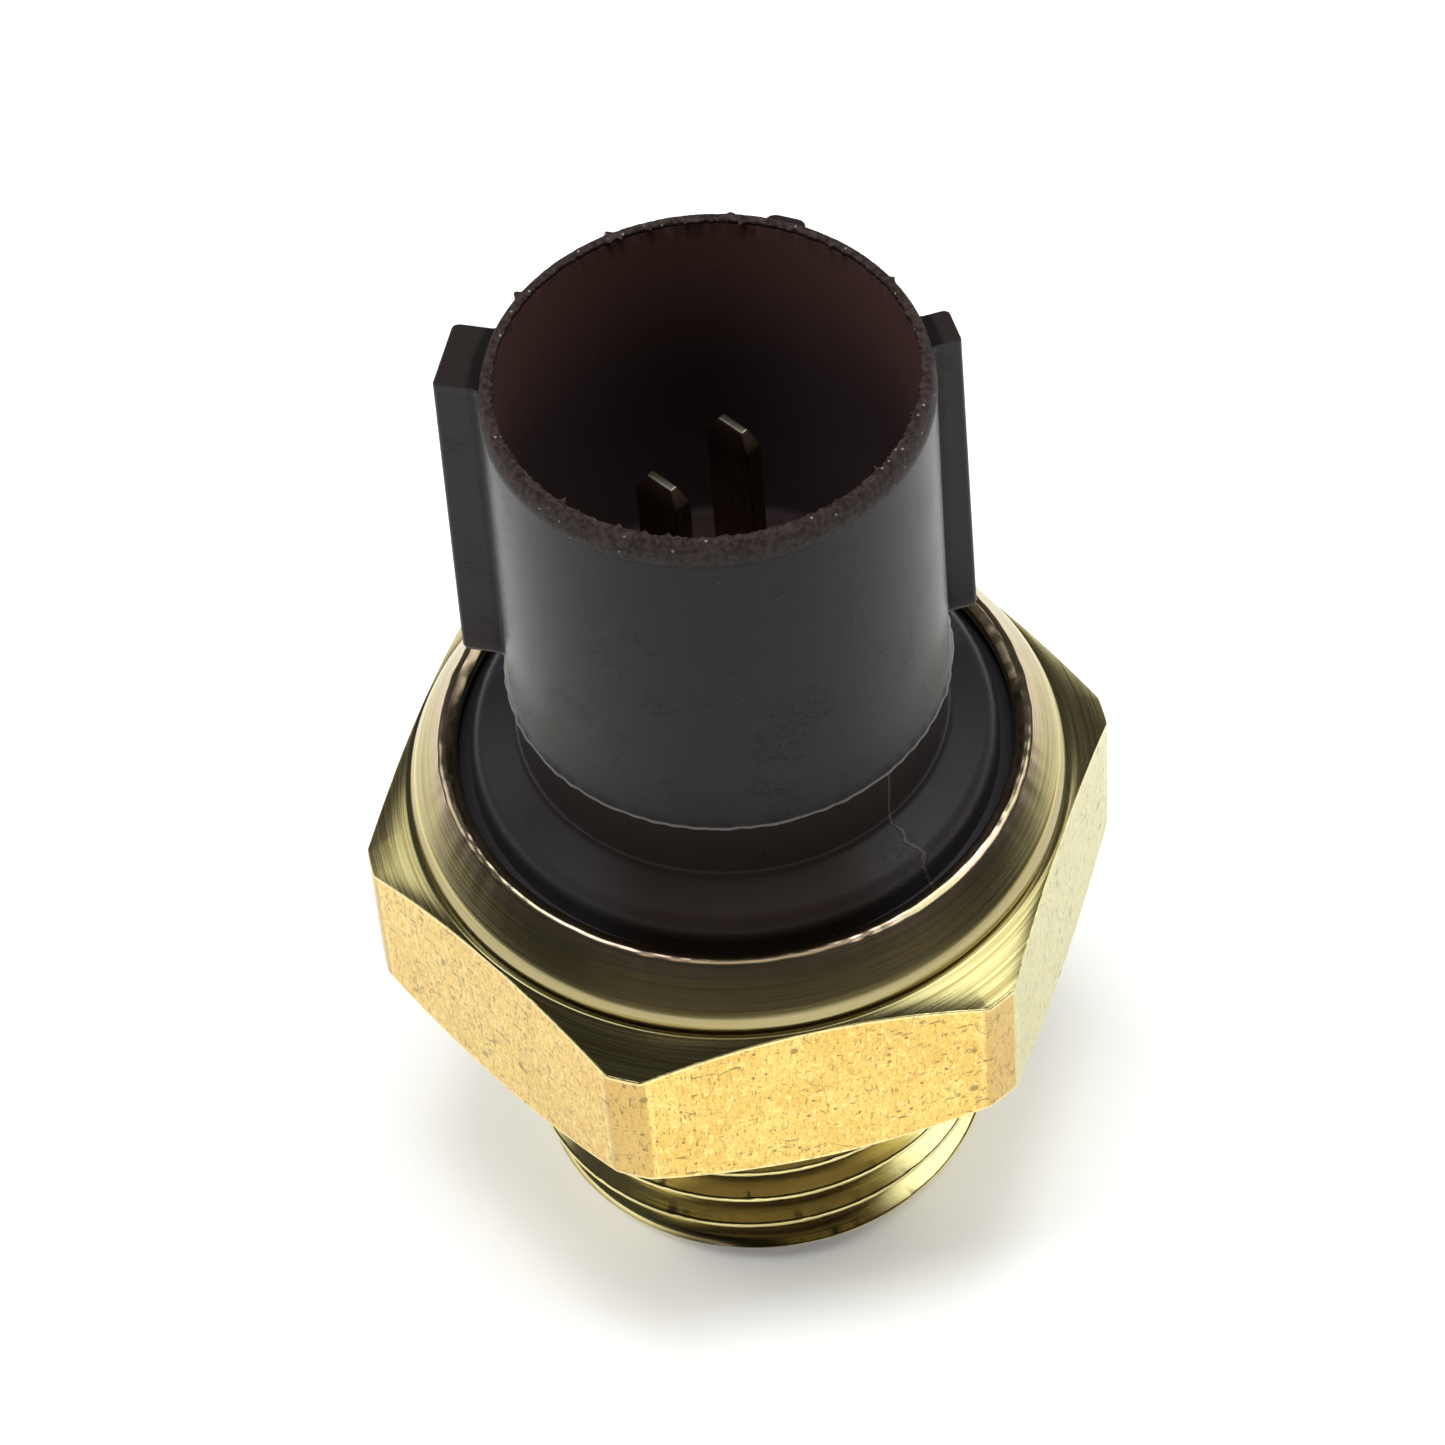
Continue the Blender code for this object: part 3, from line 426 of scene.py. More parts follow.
def body_outside(angles):
    """Rows from the lip's underside over the collar and the hexagon down to the undercut."""
    side = np.abs((np.degrees(angles) % 60) - 30)
    flat_r = HEX_FLAT_R / np.cos(np.radians(side))
    hex_r = np.minimum(flat_r, HEX_CORNER_R)
    fall = (hex_r - HEX_FACE_R) * HEX_SLOPE
    corners = [
        LIP_UNDER,
        (LIP_INNER_R, LIP_CREST_Z - 0.42, 0.05),
        (LIP_INNER_R + 0.03, LIP_CREST_Z - 0.16, 0.06),
        (LIP_INNER_R + 0.34, LIP_CREST_Z - 0.01, 0.05),
    ]
    corners += arc(LIP_ROUND_R, LIP_ROUND_Z, LIP_ROUND, LIP_ROUND, 84, 48, 10)
    corners += arc(COLLAR_R - COLLAR_ROUND, COLLAR_Z, COLLAR_ROUND, COLLAR_ROUND, COLLAR_SLOPE, 0, 16)
    corners += [
        (COLLAR_R, HEX_TOP_Z + 0.12, 0.03),
        (COLLAR_R - GROOVE_DEPTH, HEX_TOP_Z + 0.10, 0.02),
        (COLLAR_R - GROOVE_DEPTH, HEX_TOP_Z, 0.03),
        (HEX_FACE_R, HEX_TOP_Z, 0.03),
        (hex_r, HEX_TOP_Z - fall, 0.05),
        (hex_r, HEX_BOTTOM_Z + fall, 0.05),
        (HEX_FACE_R, HEX_BOTTOM_Z, 0.05),
        (UNDERCUT_R, HEX_BOTTOM_Z, 0.15),
        (UNDERCUT_R, THREAD_TOP_Z, 0),
    ]
    rows = rounded_rows(corners, len(angles))
    on_lip = ramp(rows[..., 1], LIP_CREST_Z - 0.37, 0.2) * ramp(rows[..., 0], LIP_ROUND_R + 0.5, -0.2)
    rows[..., 0] += on_lip * waves(angles, 3, range(9, 90, 4), 0.009)
    rows[..., 1] += on_lip * (waves(angles, 4, range(7, 120, 5), 0.006) - 0.02)
    return turned_grid(rows, angles)


def body_thread(angles):
    """The right-handed thread: rows follow the helix, so that the height at a row is its height at angle
    0 plus a pitch for each turn, and the radius is the least of the ridge and the two end chamfers."""
    flank = [(0.035, 1), (0.065, 0.97), (0.085, 0.9), (0.2, 0.55), (0.34, 0.14), (0.385, 0.03), (0.42, 0)]
    shape = [(-0.5, 0)] + [(-part, height) for part, height in reversed(flank)] + flank
    part, height = np.array(shape).T
    turns = np.arange(-2, 8)[:, None]
    start = ((turns + part[None]) * THREAD_PITCH + THREAD_START).ravel()[::-1]
    height = np.tile(height, len(turns))[::-1]
    z = start[:, None] + THREAD_PITCH * angles[None] / math.tau
    r = THREAD_ROOT_R + (THREAD_R - THREAD_ROOT_R) * height[:, None] * np.ones_like(z)
    nick = waves(angles[None] + z * 0.9, 8, range(11, 120, 7), 0.012)
    r = r + np.where(height[:, None] > 0.95, np.minimum(nick, 0), 0)
    z = np.clip(z, 0, THREAD_TOP_Z)
    r = np.minimum(r, STEM_END_R + z)
    r = np.minimum(r, UNDERCUT_R + (THREAD_TOP_Z - z) * THREAD_RUNOUT)
    return turned_grid(np.stack([r, z], -1), angles)


def body_inside(angles):
    """Rows from the stem's end up the port and the chamber to the lip's underside."""
    corners = [
        (STEM_END_R, 0, 0),
        (PORT_R + PORT_CHAMFER, 0, 0.04),
        (PORT_R, PORT_CHAMFER, 0.04),
        (PORT_R, CHAMBER_FLOOR_Z, 0.08),
        (SEAL_INNER_R, CHAMBER_FLOOR_Z, 0.05),
        (SEAL_INNER_R, SEAL_FLOOR_Z, 0.05),
        (SEAL_OUTER_R, SEAL_FLOOR_Z, 0.05),
        (SEAL_OUTER_R, CHAMBER_FLOOR_Z, 0.05),
        (CHAMBER_R, CHAMBER_FLOOR_Z, 0.1),
        (CHAMBER_R, SHELF_Z, 0.05),
        (COUNTERBORE_R, SHELF_Z, 0.05),
        (COUNTERBORE_R, COUNTERBORE_TOP_Z, 0.05),
        LIP_UNDER,
    ]
    return turned_grid(rounded_rows(corners, len(angles)), angles)


angles = body_columns()
body_grids = [body_outside(angles), body_thread(angles), body_inside(angles)]
body = keep_flats(welded_object("brass_body_finished", body_grids, brass_finish()))
place(body, "switch_body", "body_brass", "brass_body")


# Seals
# Moulded rubber O-rings: a thick one under the hexagon, one round the housing's spigot, and one in the
# chamber floor under the films.

FULL_TURN = np.radians(np.linspace(0, 360, 121))


def rubber_finish():
    """Black rubber with a dull bloom and a fine moulded grain."""
    f = Finish("black_rubber_finish", Specular_IOR_Level=0.35)
    bloom = f.shade.noise(f.place, 1.4, 4.0, 0.6)
    grain = f.shade.noise(f.place, 14.0, 2.0)
    colour = bloom.step(0.35, 0.75).blend(rgb(0.012, 0.012, 0.013), rgb(0.035, 0.035, 0.037))
    return f.apply(colour, 0.45 + bloom * 0.3, grain, 0.008)


def o_ring(name, node, material):
    """A circle of the cord carried round the axis, with a low flash line on its outer side."""
    low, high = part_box(node)
    cord = (high.z - low.z) / MM / 2
    middle = high.x / MM - cord
    turn = np.radians(np.linspace(90, -270, 33))
    flash = np.where(np.abs(turn) < 0.01, 0.02 * cord, 0)
    r = np.repeat((middle + (cord + flash - 0.01) * np.cos(turn))[:, None], len(FULL_TURN), 1)
    z = np.repeat((low.z / MM + cord + cord * np.sin(turn))[:, None], len(FULL_TURN), 1)
    ring = welded_object(name, [turned_grid(np.stack([r, z], -1), FULL_TURN)], material)
    return place(ring, "switch_body", "black_rubber", node)


rubber = rubber_finish()
o_ring("thread_seal", "thread_o_ring", rubber)
o_ring("housing_seal", "housing_o_ring", rubber)
o_ring("film_seal", "diaphragm_o_ring", rubber)


# Films
# Two thin formed discs over the port: a grey coated liner against the fluid and an amber film behind
# it, clamped at the edge by the cup, with a low plateau that carries the plunger.


def film_finish(name, thin, deep):
    """Formed plastic film: a smooth sheet with slow thickness waves and fine draw lines."""
    f = Finish(name, Specular_IOR_Level=0.5)
    cloud = f.shade.noise(f.place, 0.8, 3.0)
    lines = f.shade.noise(f.rings(5.0, 1.0), 1.0, 3.0)
    return f.apply(cloud.step(0.3, 0.7).blend(thin, deep), 0.22 + cloud * 0.15, lines, 0.004)


def round_piece(name, node, body_name, slot, corners, material, turn=FULL_TURN, centre=(0.0, 0.0)):
    """A turned piece: a profile of (r, z, reach) corners, down its outside, carried round a centre."""
    rows = rounded_rows(corners, len(turn), 3)
    grid = turned_grid(rows, turn) + np.array([centre[0], centre[1], 0])
    obj = keep_flats(welded_object(name, [grid], material))
    return place(obj, body_name, slot, node)


FILM_THICK = 0.2
PLATEAU_R = 2.9
STEP_FOOT_R = 4.1


def film_corners(node):
    """A flat rim, a rounded step up and a plateau, on both faces of the sheet."""
    low, high = (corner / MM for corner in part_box(node))
    rise = high.z - low.z - FILM_THICK
    flat_z = low.z + FILM_THICK
    top = [(0, flat_z + rise, 0), (PLATEAU_R, flat_z + rise, 0.3), (STEP_FOOT_R, flat_z, 0.3)]
    rim = [(high.x, flat_z, 0.03), (high.x, low.z, 0.03)]
    under = [(STEP_FOOT_R, low.z, 0.3), (PLATEAU_R, low.z + rise, 0.3), (0, low.z + rise, 0)]
    return top + rim + under


grey_film = film_finish("grey_film", rgb(0.20, 0.20, 0.21), rgb(0.28, 0.28, 0.29))
amber_film = film_finish("amber_film", rgb(0.50, 0.22, 0.04), rgb(0.62, 0.30, 0.07))
liner_corners = film_corners("diaphragm_liner")
round_piece("liner_film", "diaphragm_liner", "switch_body", "film_grey", liner_corners, grey_film)
amber_corners = film_corners("diaphragm")
round_piece("pressure_film", "diaphragm", "switch_body", "film_amber", amber_corners, amber_film)


# Cup, plunger, snap disc and retainer
# A plated steel cup backs the films and guides a turned brass plunger. The dished spring-steel disc lies
# on the cup's ledge, and a plated ring holds both down.

CUP_BORE_R = 4.3
CUP_FLOOR = 0.98
DISC_LEDGE_R = 6.3
DISC_LEDGE = 1.38
DISC_RECESS_R = 7.02
DISC_DISH = 0.30
DISC_THICK = 0.25
RETAINER_BORE_R = 6.0


def metal_finish(name, dark, bright, roughness, fine=7.0):
    """Small metal part: turned or drawn lines round the axis, slow stains and a few spots."""
    f = Finish(name, Metallic=1.0)
    lines = f.shade.noise(f.rings(fine, 1.0), 1.0, 3.0, 0.6)
    stain = f.shade.noise(f.place, 0.7, 3.0)
    colour = (stain * 0.6 + lines * 0.4).step(0.35, 0.65).blend(dark, bright)
    colour = (f.dots(1.5, 0.08, 0.15) * 0.6).blend(colour, dark)
    return f.apply(colour, roughness + stain * 0.15, lines + stain * 0.5, 0.006)


steel = metal_finish("plated_steel_finish", rgb(0.50, 0.50, 0.47), rgb(0.68, 0.68, 0.65), 0.25)
low, high = (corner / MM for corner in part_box("disc_cup"))
cup_corners = [
    (DISC_RECESS_R, high.z, 0.05),
    (high.x, high.z, 0.12),
    (high.x, low.z, 0.2),
    (CUP_BORE_R, low.z, 0.1),
    (CUP_BORE_R, low.z + CUP_FLOOR, 0.06),
    (DISC_LEDGE_R, low.z + CUP_FLOOR, 0.05),
    (DISC_LEDGE_R, low.z + DISC_LEDGE, 0.05),
    (DISC_RECESS_R, low.z + DISC_LEDGE, 0.05),
    (DISC_RECESS_R, high.z, 0.05),
]
round_piece("pressed_cup", "disc_cup", "switch_body", "plated_steel", cup_corners, steel)

low, high = (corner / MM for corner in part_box("plunger"))
turned_brass = metal_finish("turned_brass", rgb(0.55, 0.38, 0.12), rgb(0.75, 0.55, 0.20), 0.22, 10.0)
plunger_corners = [
    (0, high.z, 0),
    (high.x, high.z, 0.12),
    (high.x, low.z, 0.12),
    (0, low.z, 0),
]
round_piece("turned_plunger", "plunger", "plunger", "plunger_brass", plunger_corners, turned_brass)

low, high = (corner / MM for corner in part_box("snap_disc"))
spring_steel = metal_finish("spring_steel_finish", rgb(0.40, 0.41, 0.43), rgb(0.58, 0.59, 0.61), 0.2, 3.0)
dish_r = np.linspace(0, high.x, 13)
dish_z = high.z - DISC_DISH * (1 - (dish_r / high.x) ** 2)
disc_corners = [(r, z, 0.03 * (r > 0)) for r, z in zip(dish_r, dish_z)]
disc_corners += [(r, z - DISC_THICK, 0.03 * (r > 0)) for r, z in zip(dish_r[::-1], dish_z[::-1])]
round_piece("dished_disc", "snap_disc", "snap_disc", "spring_steel", disc_corners, spring_steel)

low, high = (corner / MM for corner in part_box("disc_retainer"))
ring_corners = [
    (RETAINER_BORE_R, high.z, 0.08),
    (high.x, high.z, 0.08),
    (high.x, low.z, 0.08),
    (RETAINER_BORE_R, low.z, 0.08),
    (RETAINER_BORE_R, high.z, 0.08),
]
round_piece("pressed_ring", "disc_retainer", "switch_body", "plated_steel", ring_corners, steel)


# Guide and pin
# A natural-coloured moulded plate with a boss holds a sintered ceramic pin upright, between the disc
# and the contact arm.

PIN_BORE_R = 1.12
BOSS_R = 2.3
PLATE_THICK = 0.95
PIN_TIP_R = 0.4
PIN_TIP = 0.3


def moulded_finish(name, dull, clear, roughness):
    """Moulded or sintered piece: faint clouds, a fine grain and a few dark specks."""
    f = Finish(name)
    cloud = f.shade.noise(f.place, 0.9, 4.0)
    colour = cloud.step(0.3, 0.7).blend(dull, clear)
    colour = (f.dots(1.6, 0.05, 0.2) * 0.5).blend(colour, rgb(0.12, 0.10, 0.07))
    return f.apply(colour, roughness + cloud * 0.1, f.shade.noise(f.place, 12.0, 3.0), 0.006)


low, high = (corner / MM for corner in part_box("pin_guide"))
natural = moulded_finish("natural_plastic_finish", rgb(0.52, 0.47, 0.36), rgb(0.62, 0.58, 0.47), 0.4)
guide_corners = [
    (PIN_BORE_R, high.z, 0.04),
    (BOSS_R, high.z, 0.1),
    (BOSS_R, low.z + PLATE_THICK, 0.15),
    (high.x, low.z + PLATE_THICK, 0.1),
    (high.x, low.z, 0.1),
    (PIN_BORE_R, low.z, 0.04),
    (PIN_BORE_R, high.z, 0.04),
]
round_piece("guide_plate", "pin_guide", "switch_body", "guide_plastic", guide_corners, natural)

low, high = (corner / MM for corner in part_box("push_pin"))
ceramic = moulded_finish("ceramic_finish", rgb(0.74, 0.71, 0.63), rgb(0.83, 0.81, 0.75), 0.3)
pin_corners = [
    (0, high.z, 0),
    (PIN_TIP_R, high.z, 0.08),
    (high.x, high.z - PIN_TIP, 0.1),
    (high.x, low.z + PIN_TIP, 0.1),
    (PIN_TIP_R, low.z, 0.08),
    (0, low.z, 0),
]
round_piece("ceramic_pin", "push_pin", "push_pin", "pin_ceramic", pin_corners, ceramic)


# Terminals, contact arm and contacts
# Stamped brass strip bent to shape, with a copper-alloy spring arm riveted under the common one. The
# blade tips are cut off at the corners, and the tips are brighter than the dull strip below them.

SHEARED_Z = (31.9, 32.3)
COINED_REACH = 0.55
COINED_SHARE = 0.55
SHEARED_EDGE = 0.04
CROWN = 0.08


def strip_finish(name, dull, bright, sheared):
    """Rolled strip: fine rolling lines along Z, tarnish, and brighter metal at the sheared tip."""
    f = Finish(name, Metallic=1.0)
    rolled = f.streaks(9.0, 0.8, 3.0, 0.6)
    tarnish = f.shade.noise(f.place, 1.3, 4.0, 0.6)
    colour = (rolled * 0.5 + tarnish * 0.5).step(0.35, 0.65).blend(dull, bright)
    tip = f.z.step(*SHEARED_Z)
    colour = (tip * 0.8).blend(colour, sheared)
    return f.apply(colour, 0.30 + tarnish * 0.18 - tip * 0.05, rolled + tarnish * 0.6, 0.010)


def coined_tip(builder, reach, share):
    """Thins a strip towards its tip: above a cut one reach below the top, each point moves towards the
    middle of the thickness by the share times its height in the reach."""
    top = max(vertex.co.z for vertex in builder.verts)
    start = top - reach * MM
    geometry = builder.verts[:] + builder.edges[:] + builder.faces[:]
    bmesh.ops.bisect_plane(builder, geom=geometry, plane_co=(0, 0, start), plane_no=(0, 0, 1), dist=1e-8)
    tip = [vertex for vertex in builder.verts if vertex.co.z > start - 1e-7]
    points = np.array([vertex.co[:2] for vertex in tip])
    middle = (points.min(0) + points.max(0)) / 2
    thin = np.linalg.svd(points - middle)[2][1]
    for vertex, away in zip(tip, (points - middle) @ thin):
        move = away * share * (vertex.co.z - start) / (top - start)
        vertex.co.x -= thin[0] * move
        vertex.co.y -= thin[1] * move


def softened_copy(name, node, body_name, slot, material, edge, coined=False):
    """The CAD solid with its flat faces joined and its edges rounded by a small bevel."""
    builder = bmesh.new()
    builder.from_mesh(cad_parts[node].data)
    bmesh.ops.remove_doubles(builder, verts=builder.verts, dist=1e-6)
    bmesh.ops.dissolve_limit(builder, angle_limit=0.02, verts=builder.verts, edges=builder.edges)
    if coined:
        coined_tip(builder, COINED_REACH, COINED_SHARE)
    mesh = bpy.data.meshes.new(name)
    builder.to_mesh(mesh)
    builder.free()
    mesh.materials.clear()
    mesh.materials.append(material)
    mesh.polygons.foreach_set("use_smooth", np.ones(len(mesh.polygons), bool))
    obj = bpy.data.objects.new(name, mesh)
    bpy.context.scene.collection.objects.link(obj)
    bevel = obj.modifiers.new("edges", "BEVEL")
    bevel.width = edge * MM
    bevel.segments = 3
    bevel.limit_method = "ANGLE"
    bevel.angle_limit = math.radians(35)
    keep_flats(obj)
    return place(obj, body_name, slot, node)


blade_tip = rgb(0.40, 0.345, 0.24)
strip = strip_finish("terminal_strip", rgb(0.13, 0.085, 0.05), rgb(0.24, 0.165, 0.095), blade_tip)
for name, node in (("common_blade", "terminal_common"), ("switched_blade", "terminal_switched")):
    softened_copy(name, node, "switch_body", "terminal_brass", strip, SHEARED_EDGE, True)

arm_metal = strip_finish("arm_strip", rgb(0.60, 0.34, 0.15), rgb(0.74, 0.46, 0.24), rgb(0.8, 0.6, 0.4))
softened_copy("spring_arm", "contact_arm", "contact_arm", "spring_copper", arm_metal, 0.02)
softened_copy("steel_rivet", "arm_rivet", "switch_body", "plated_steel", steel, 0.03)


def button_corners(node):
    """A round button: a crowned top and a flat underside with small rounded edges, and its centre."""
    low, high = (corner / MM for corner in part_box(node))
    radius = (high.x - low.x) / 2
    corners = [
        (0, high.z, 0),
        (radius * 0.5, high.z - CROWN * 0.2, 0.2),
        (radius, high.z - CROWN, 0.06),
        (radius, low.z, 0.06),
        (0, low.z, 0),
    ]
    return corners, ((high.x + low.x) / 2, (high.y + low.y) / 2)


silver = metal_finish("silver_finish", rgb(0.62, 0.61, 0.57), rgb(0.82, 0.81, 0.78), 0.2, 2.0)
for name, node, body_name in (
    ("silver_button", "moving_contact", "contact_arm"),
    ("silver_post", "fixed_contact", "switch_body"),
):
    corners, centre = button_corners(node)
    round_piece(name, node, body_name, "contact_silver", corners, silver, FULL_TURN[::3], centre)


# Sealant
# Dark epoxy poured round the blades where they leave the contact pocket.


def epoxy_finish():
    """Glossy poured resin with slow waves and small trapped bubbles."""
    f = Finish("poured_epoxy")
    wave = f.shade.noise(f.place, 0.6, 2.0)
    colour = wave.step(0.3, 0.7).blend(rgb(0.035, 0.020, 0.009), rgb(0.075, 0.045, 0.020))
    bubbles = f.dots(2.2, 0.12, 0.25)
    return f.apply(colour, 0.15 + bubbles * 0.2, wave * 3 - bubbles, 0.02)


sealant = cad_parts["terminal_sealant"]
sealant.data.materials.clear()
sealant.data.materials.append(epoxy_finish())


# Connector housing
# A dark brown glass-filled moulding: a tube with a wide, a narrow and a small key outside, on a neck,
# a rounded ledge and the flange that the lip holds. Its trimmed rim is matt and rough, a thin flash line
# runs round the tube's foot, and a weld line runs down the neck and over the ledge.

KEYS = (
    # angle, half width, reach at the top, reach at the foot, rounding of its edges
    (154.6, 1.275, 8.35, 8.50, 0.14),
    (4.2, 0.65, 7.95, 8.20, 0.14),
    (57.9, 0.65, 7.58, 7.66, 0.32),
)
KEY_TOP_Z = 35.55
KEY_ROOT_GAP = 0.2
COLUMN_STEP = 0.8
FLASH_R = 7.20
FLASH_Z = 23.0
FLARE_Z = FLASH_Z + 0.3
RIM_Z = 36.17
RIM_MIDDLE_R = 6.60
RIM_ROUND_R = 6.73
RIM_ROUND_ACROSS = 0.27
RIM_ROUND_DOWN = 0.88
RIM_START_Z = RIM_Z - RIM_ROUND_DOWN
RIM_BURRS = ((135.0, 0.24), (104.0, 0.16), (71.0, 0.10), (21.0, 0.12), (-171.0, 0.10))
TUBE_R = 7.0
TUBE_TOP_R = 6.97
TUBE_FOOT_R = 7.08
BORE_R = 6.3
SOCKET_FLOOR_Z = 22.95
NECK_R = 6.97
NECK_FOOT_Z = 20.55
LEDGE_ROUND_R = 7.87
LEDGE_ROUND_Z = 19.05
FLANGE_R = 9.35
FLANGE_TOP_Z = 18.44
FLANGE_BOTTOM_Z = 17.82
SPIGOT_R = 8.40
SPIGOT_END_Z = 16.48
POCKET_WIDE_R = 7.30
POCKET_WIDE_Z = 19.20
POCKET_R = 6.20
POCKET_Z = 20.80
WELL_R = 4.40
WELL_Z = 21.60
WELD_ANGLE = math.radians(-57.0)
VIEW_TURN = math.radians(-9.41)


def plastic_finish():
    """Dark moulding: a matt, speckled rim with a painted shadow line under it, a warmer brown painted inside
    the tube as light shining through the wall, a painted grey reflection towards the ledge's sides, a pale
    flash line at the tube's foot and a weld line below it."""
    f = Finish("brown_moulding", Specular_IOR_Level=0.15)
    s = f.shade
    cloud = s.noise(f.place, 0.5, 4.0, 0.6)
    grain = s.noise(f.place, 9.0, 3.0, 0.6)
    rough_rim = s.noise(f.place, 5.0, 4.0, 0.7)
    specks = f.dots(2.4, 0.09, 0.10)
    rim_specks = f.dots(4.0, 0.22, 0.30)
    edge = f.z.step(RIM_START_Z - 0.03, RIM_START_Z + 0.01)
    edge = edge * f.r.band(RIM_MIDDLE_R, RIM_MIDDLE_R + 0.04, TUBE_R - 0.02, TUBE_R + 0.02)
    edge = s.math("MAXIMUM", edge, f.z.step(RIM_Z - 0.19, RIM_Z - 0.11))
    # Painted shadow: a dark line under the rim's rounded band, where its edge shades the tube.
    painted_rim_shadow = f.z.band(RIM_START_Z - 0.15, RIM_START_Z - 0.09, RIM_START_Z - 0.005, RIM_START_Z + 0.01)
    painted_rim_shadow = painted_rim_shadow * f.r.band(TUBE_R - 0.10, TUBE_R - 0.08, TUBE_R + 0.02, TUBE_R + 0.05)
    # Painted light: the inside of the tube is painted a warmer, lighter brown, reddest towards its top,
    # standing in for light shining through the thin wall.
    inside = (1 - f.r.step(RIM_MIDDLE_R + 0.02, RIM_MIDDLE_R + 0.10)) * f.z.step(FLASH_Z - 0.2, FLASH_Z)
    painted_through_glow = inside * f.z.step(29.0, 36.0)
    ledge = (1 - f.z.step(NECK_FOOT_Z + 0.05, NECK_FOOT_Z + 0.35)) * f.r.step(TUBE_R, TUBE_R + 0.2)
    bead = f.z.band(FLASH_Z - 0.07, FLASH_Z - 0.03, FLASH_Z + 0.06, FLASH_Z + 0.12)
    bead = bead * f.r.step(FLASH_R - 0.10, FLASH_R - 0.04)
    key = f.r.step(FLASH_R + 0.05, FLASH_R + 0.25) * f.z.step(FLASH_Z - 0.05, FLASH_Z + 0.05)

    colour = cloud.step(0.3, 0.7).blend(rgb(0.0068, 0.0056, 0.0056), rgb(0.0100, 0.0080, 0.0078))
    colour = key.blend(colour, rgb(0.0200, 0.0150, 0.0145))
    below_flash = 1 - f.z.step(FLASH_Z - 0.20, FLASH_Z - 0.05)
    colour = below_flash.blend(colour, rgb(0.0150, 0.0120, 0.0105))
    colour = ledge.blend(colour, rgb(0.0170, 0.0120, 0.0100))
    # Painted reflection: a grey, bluish sheen on the ledge towards its left and right as seen from the
    # camera.
    aside = s.math("ABSOLUTE", f.toward(VIEW_TURN)).step(2.8, 5.6)
    colour = (ledge * aside * (0.5 + cloud * 0.6)).blend(colour, rgb(0.030, 0.0275, 0.0315))
    # Painted light through the wall, warmest near the rim.
    colour = inside.blend(colour, rgb(0.040, 0.026, 0.028))
    colour = painted_through_glow.blend(colour, rgb(0.110, 0.058, 0.046))
    colour = painted_rim_shadow.blend(colour, rgb(0.003, 0.002, 0.002))
    torn = rough_rim.step(0.35, 0.65).blend(rgb(0.018, 0.011, 0.009), rgb(0.046, 0.034, 0.030))
    colour = edge.blend(colour, torn)
    colour = (edge * rim_specks * 0.7).blend(colour, rgb(0.30, 0.26, 0.23))
    colour = (bead * 0.8).blend(colour, rgb(0.16, 0.14, 0.13))
    colour = (specks * (1 - inside) * 0.6).blend(colour, rgb(0.16, 0.15, 0.15))

    wander = (s.noise(f.place, 1.6, 3.0) * 0.10 - 0.05) * f.z.step(FLASH_Z - 1.0, FLASH_Z - 3.0)
    away = s.math("ABSOLUTE", s.math("ARCTAN2", f.y, f.x) - WELD_ANGLE + wander)
    weld = (1 - away.step(0.004, 0.012)) * (1 - f.z.step(FLASH_Z - 0.1, FLASH_Z))
    weld = weld * f.r.step(NECK_R - 0.07, NECK_R - 0.02)
    colour = (weld * 0.5).blend(colour, rgb(0.10, 0.085, 0.080))

    scratch = f.streaks(2.2, 9.0, 3.0, 0.7)
    scratches = (1 - s.math("ABSOLUTE", scratch - 0.5).step(0.0, 0.006)) * cloud.step(0.55, 0.65)
    roughness = 0.26 + cloud * 0.08 + edge * 0.34 + inside * 0.12 + scratches * 0.2
    height = grain * 0.25 + edge * rough_rim * 3.0 + edge * 1.2 + specks * 1.2 + weld * 2.0 - scratches
    return f.apply(colour, roughness, height, 0.018)


def key_columns():
    """Columns round the housing. A plain one has only its angle. A key's column has the key's angle, its
    place across the key and how far out it goes: 0 on the tube, 1 on the key's face."""
    columns = []
    centres = sorted(KEYS)
    for number, (angle, half, top, foot, soft) in enumerate(centres):
        step = soft / (top - TUBE_TOP_R)
        turn = np.radians(np.linspace(0, 90, 5))
        side = [(half + 0.10, 0), (half + 0.03, 0.06), (half, 0.16), (half, 1 - step)]
        side += [(half - soft * (1 - math.cos(t)), 1 - step * (1 - math.sin(t))) for t in turn[1:]]
        face = [(b, 1) for b in np.linspace(half - soft, -(half - soft), 10)[1:-1]]
        over = side + face + [(-b, a) for b, a in side[::-1]]
        columns += [(angle, -b, a, top, foot) for b, a in over]
        gap = math.degrees(math.asin((half + KEY_ROOT_GAP) / BORE_R))
        ahead = centres[(number + 1) % 3]
        ahead_angle = ahead[0] + 360 * (number == 2)
        ahead_gap = math.degrees(math.asin((ahead[1] + KEY_ROOT_GAP) / BORE_R))
        span = ahead_angle - ahead_gap - angle - gap
        count = int(span / COLUMN_STEP)
        columns += [(angle + gap + span * i / count, 0, 0, TUBE_R, TUBE_R) for i in range(count + 1)]
    columns.append(columns[0])
    return np.array(columns, float)


def housing_grid(rows, keyed, columns):
    """Points of rows (r, z): a column on the tube stays at its angle, and one on a key lies at its place
    across the key, its distance out blended from the tube's circle to the key's face."""
    angle, across, out, top, foot = columns.T
    turn = np.radians(angle)
    r, z = rows[..., 0], rows[..., 1]
    reach = top + (foot - top) * (KEY_TOP_Z - z) / (KEY_TOP_Z - FLASH_Z)
    aside = across * np.minimum(1, r / BORE_R)
    on_tube = np.sqrt(np.maximum(r**2 - aside**2, 0))
    part = out * keyed[:, None]
    away = (1 - part) * on_tube + part * reach
    x = away * np.cos(turn) - aside * np.sin(turn)
    y = away * np.sin(turn) + aside * np.cos(turn)
    return np.stack([x, y, z], -1)


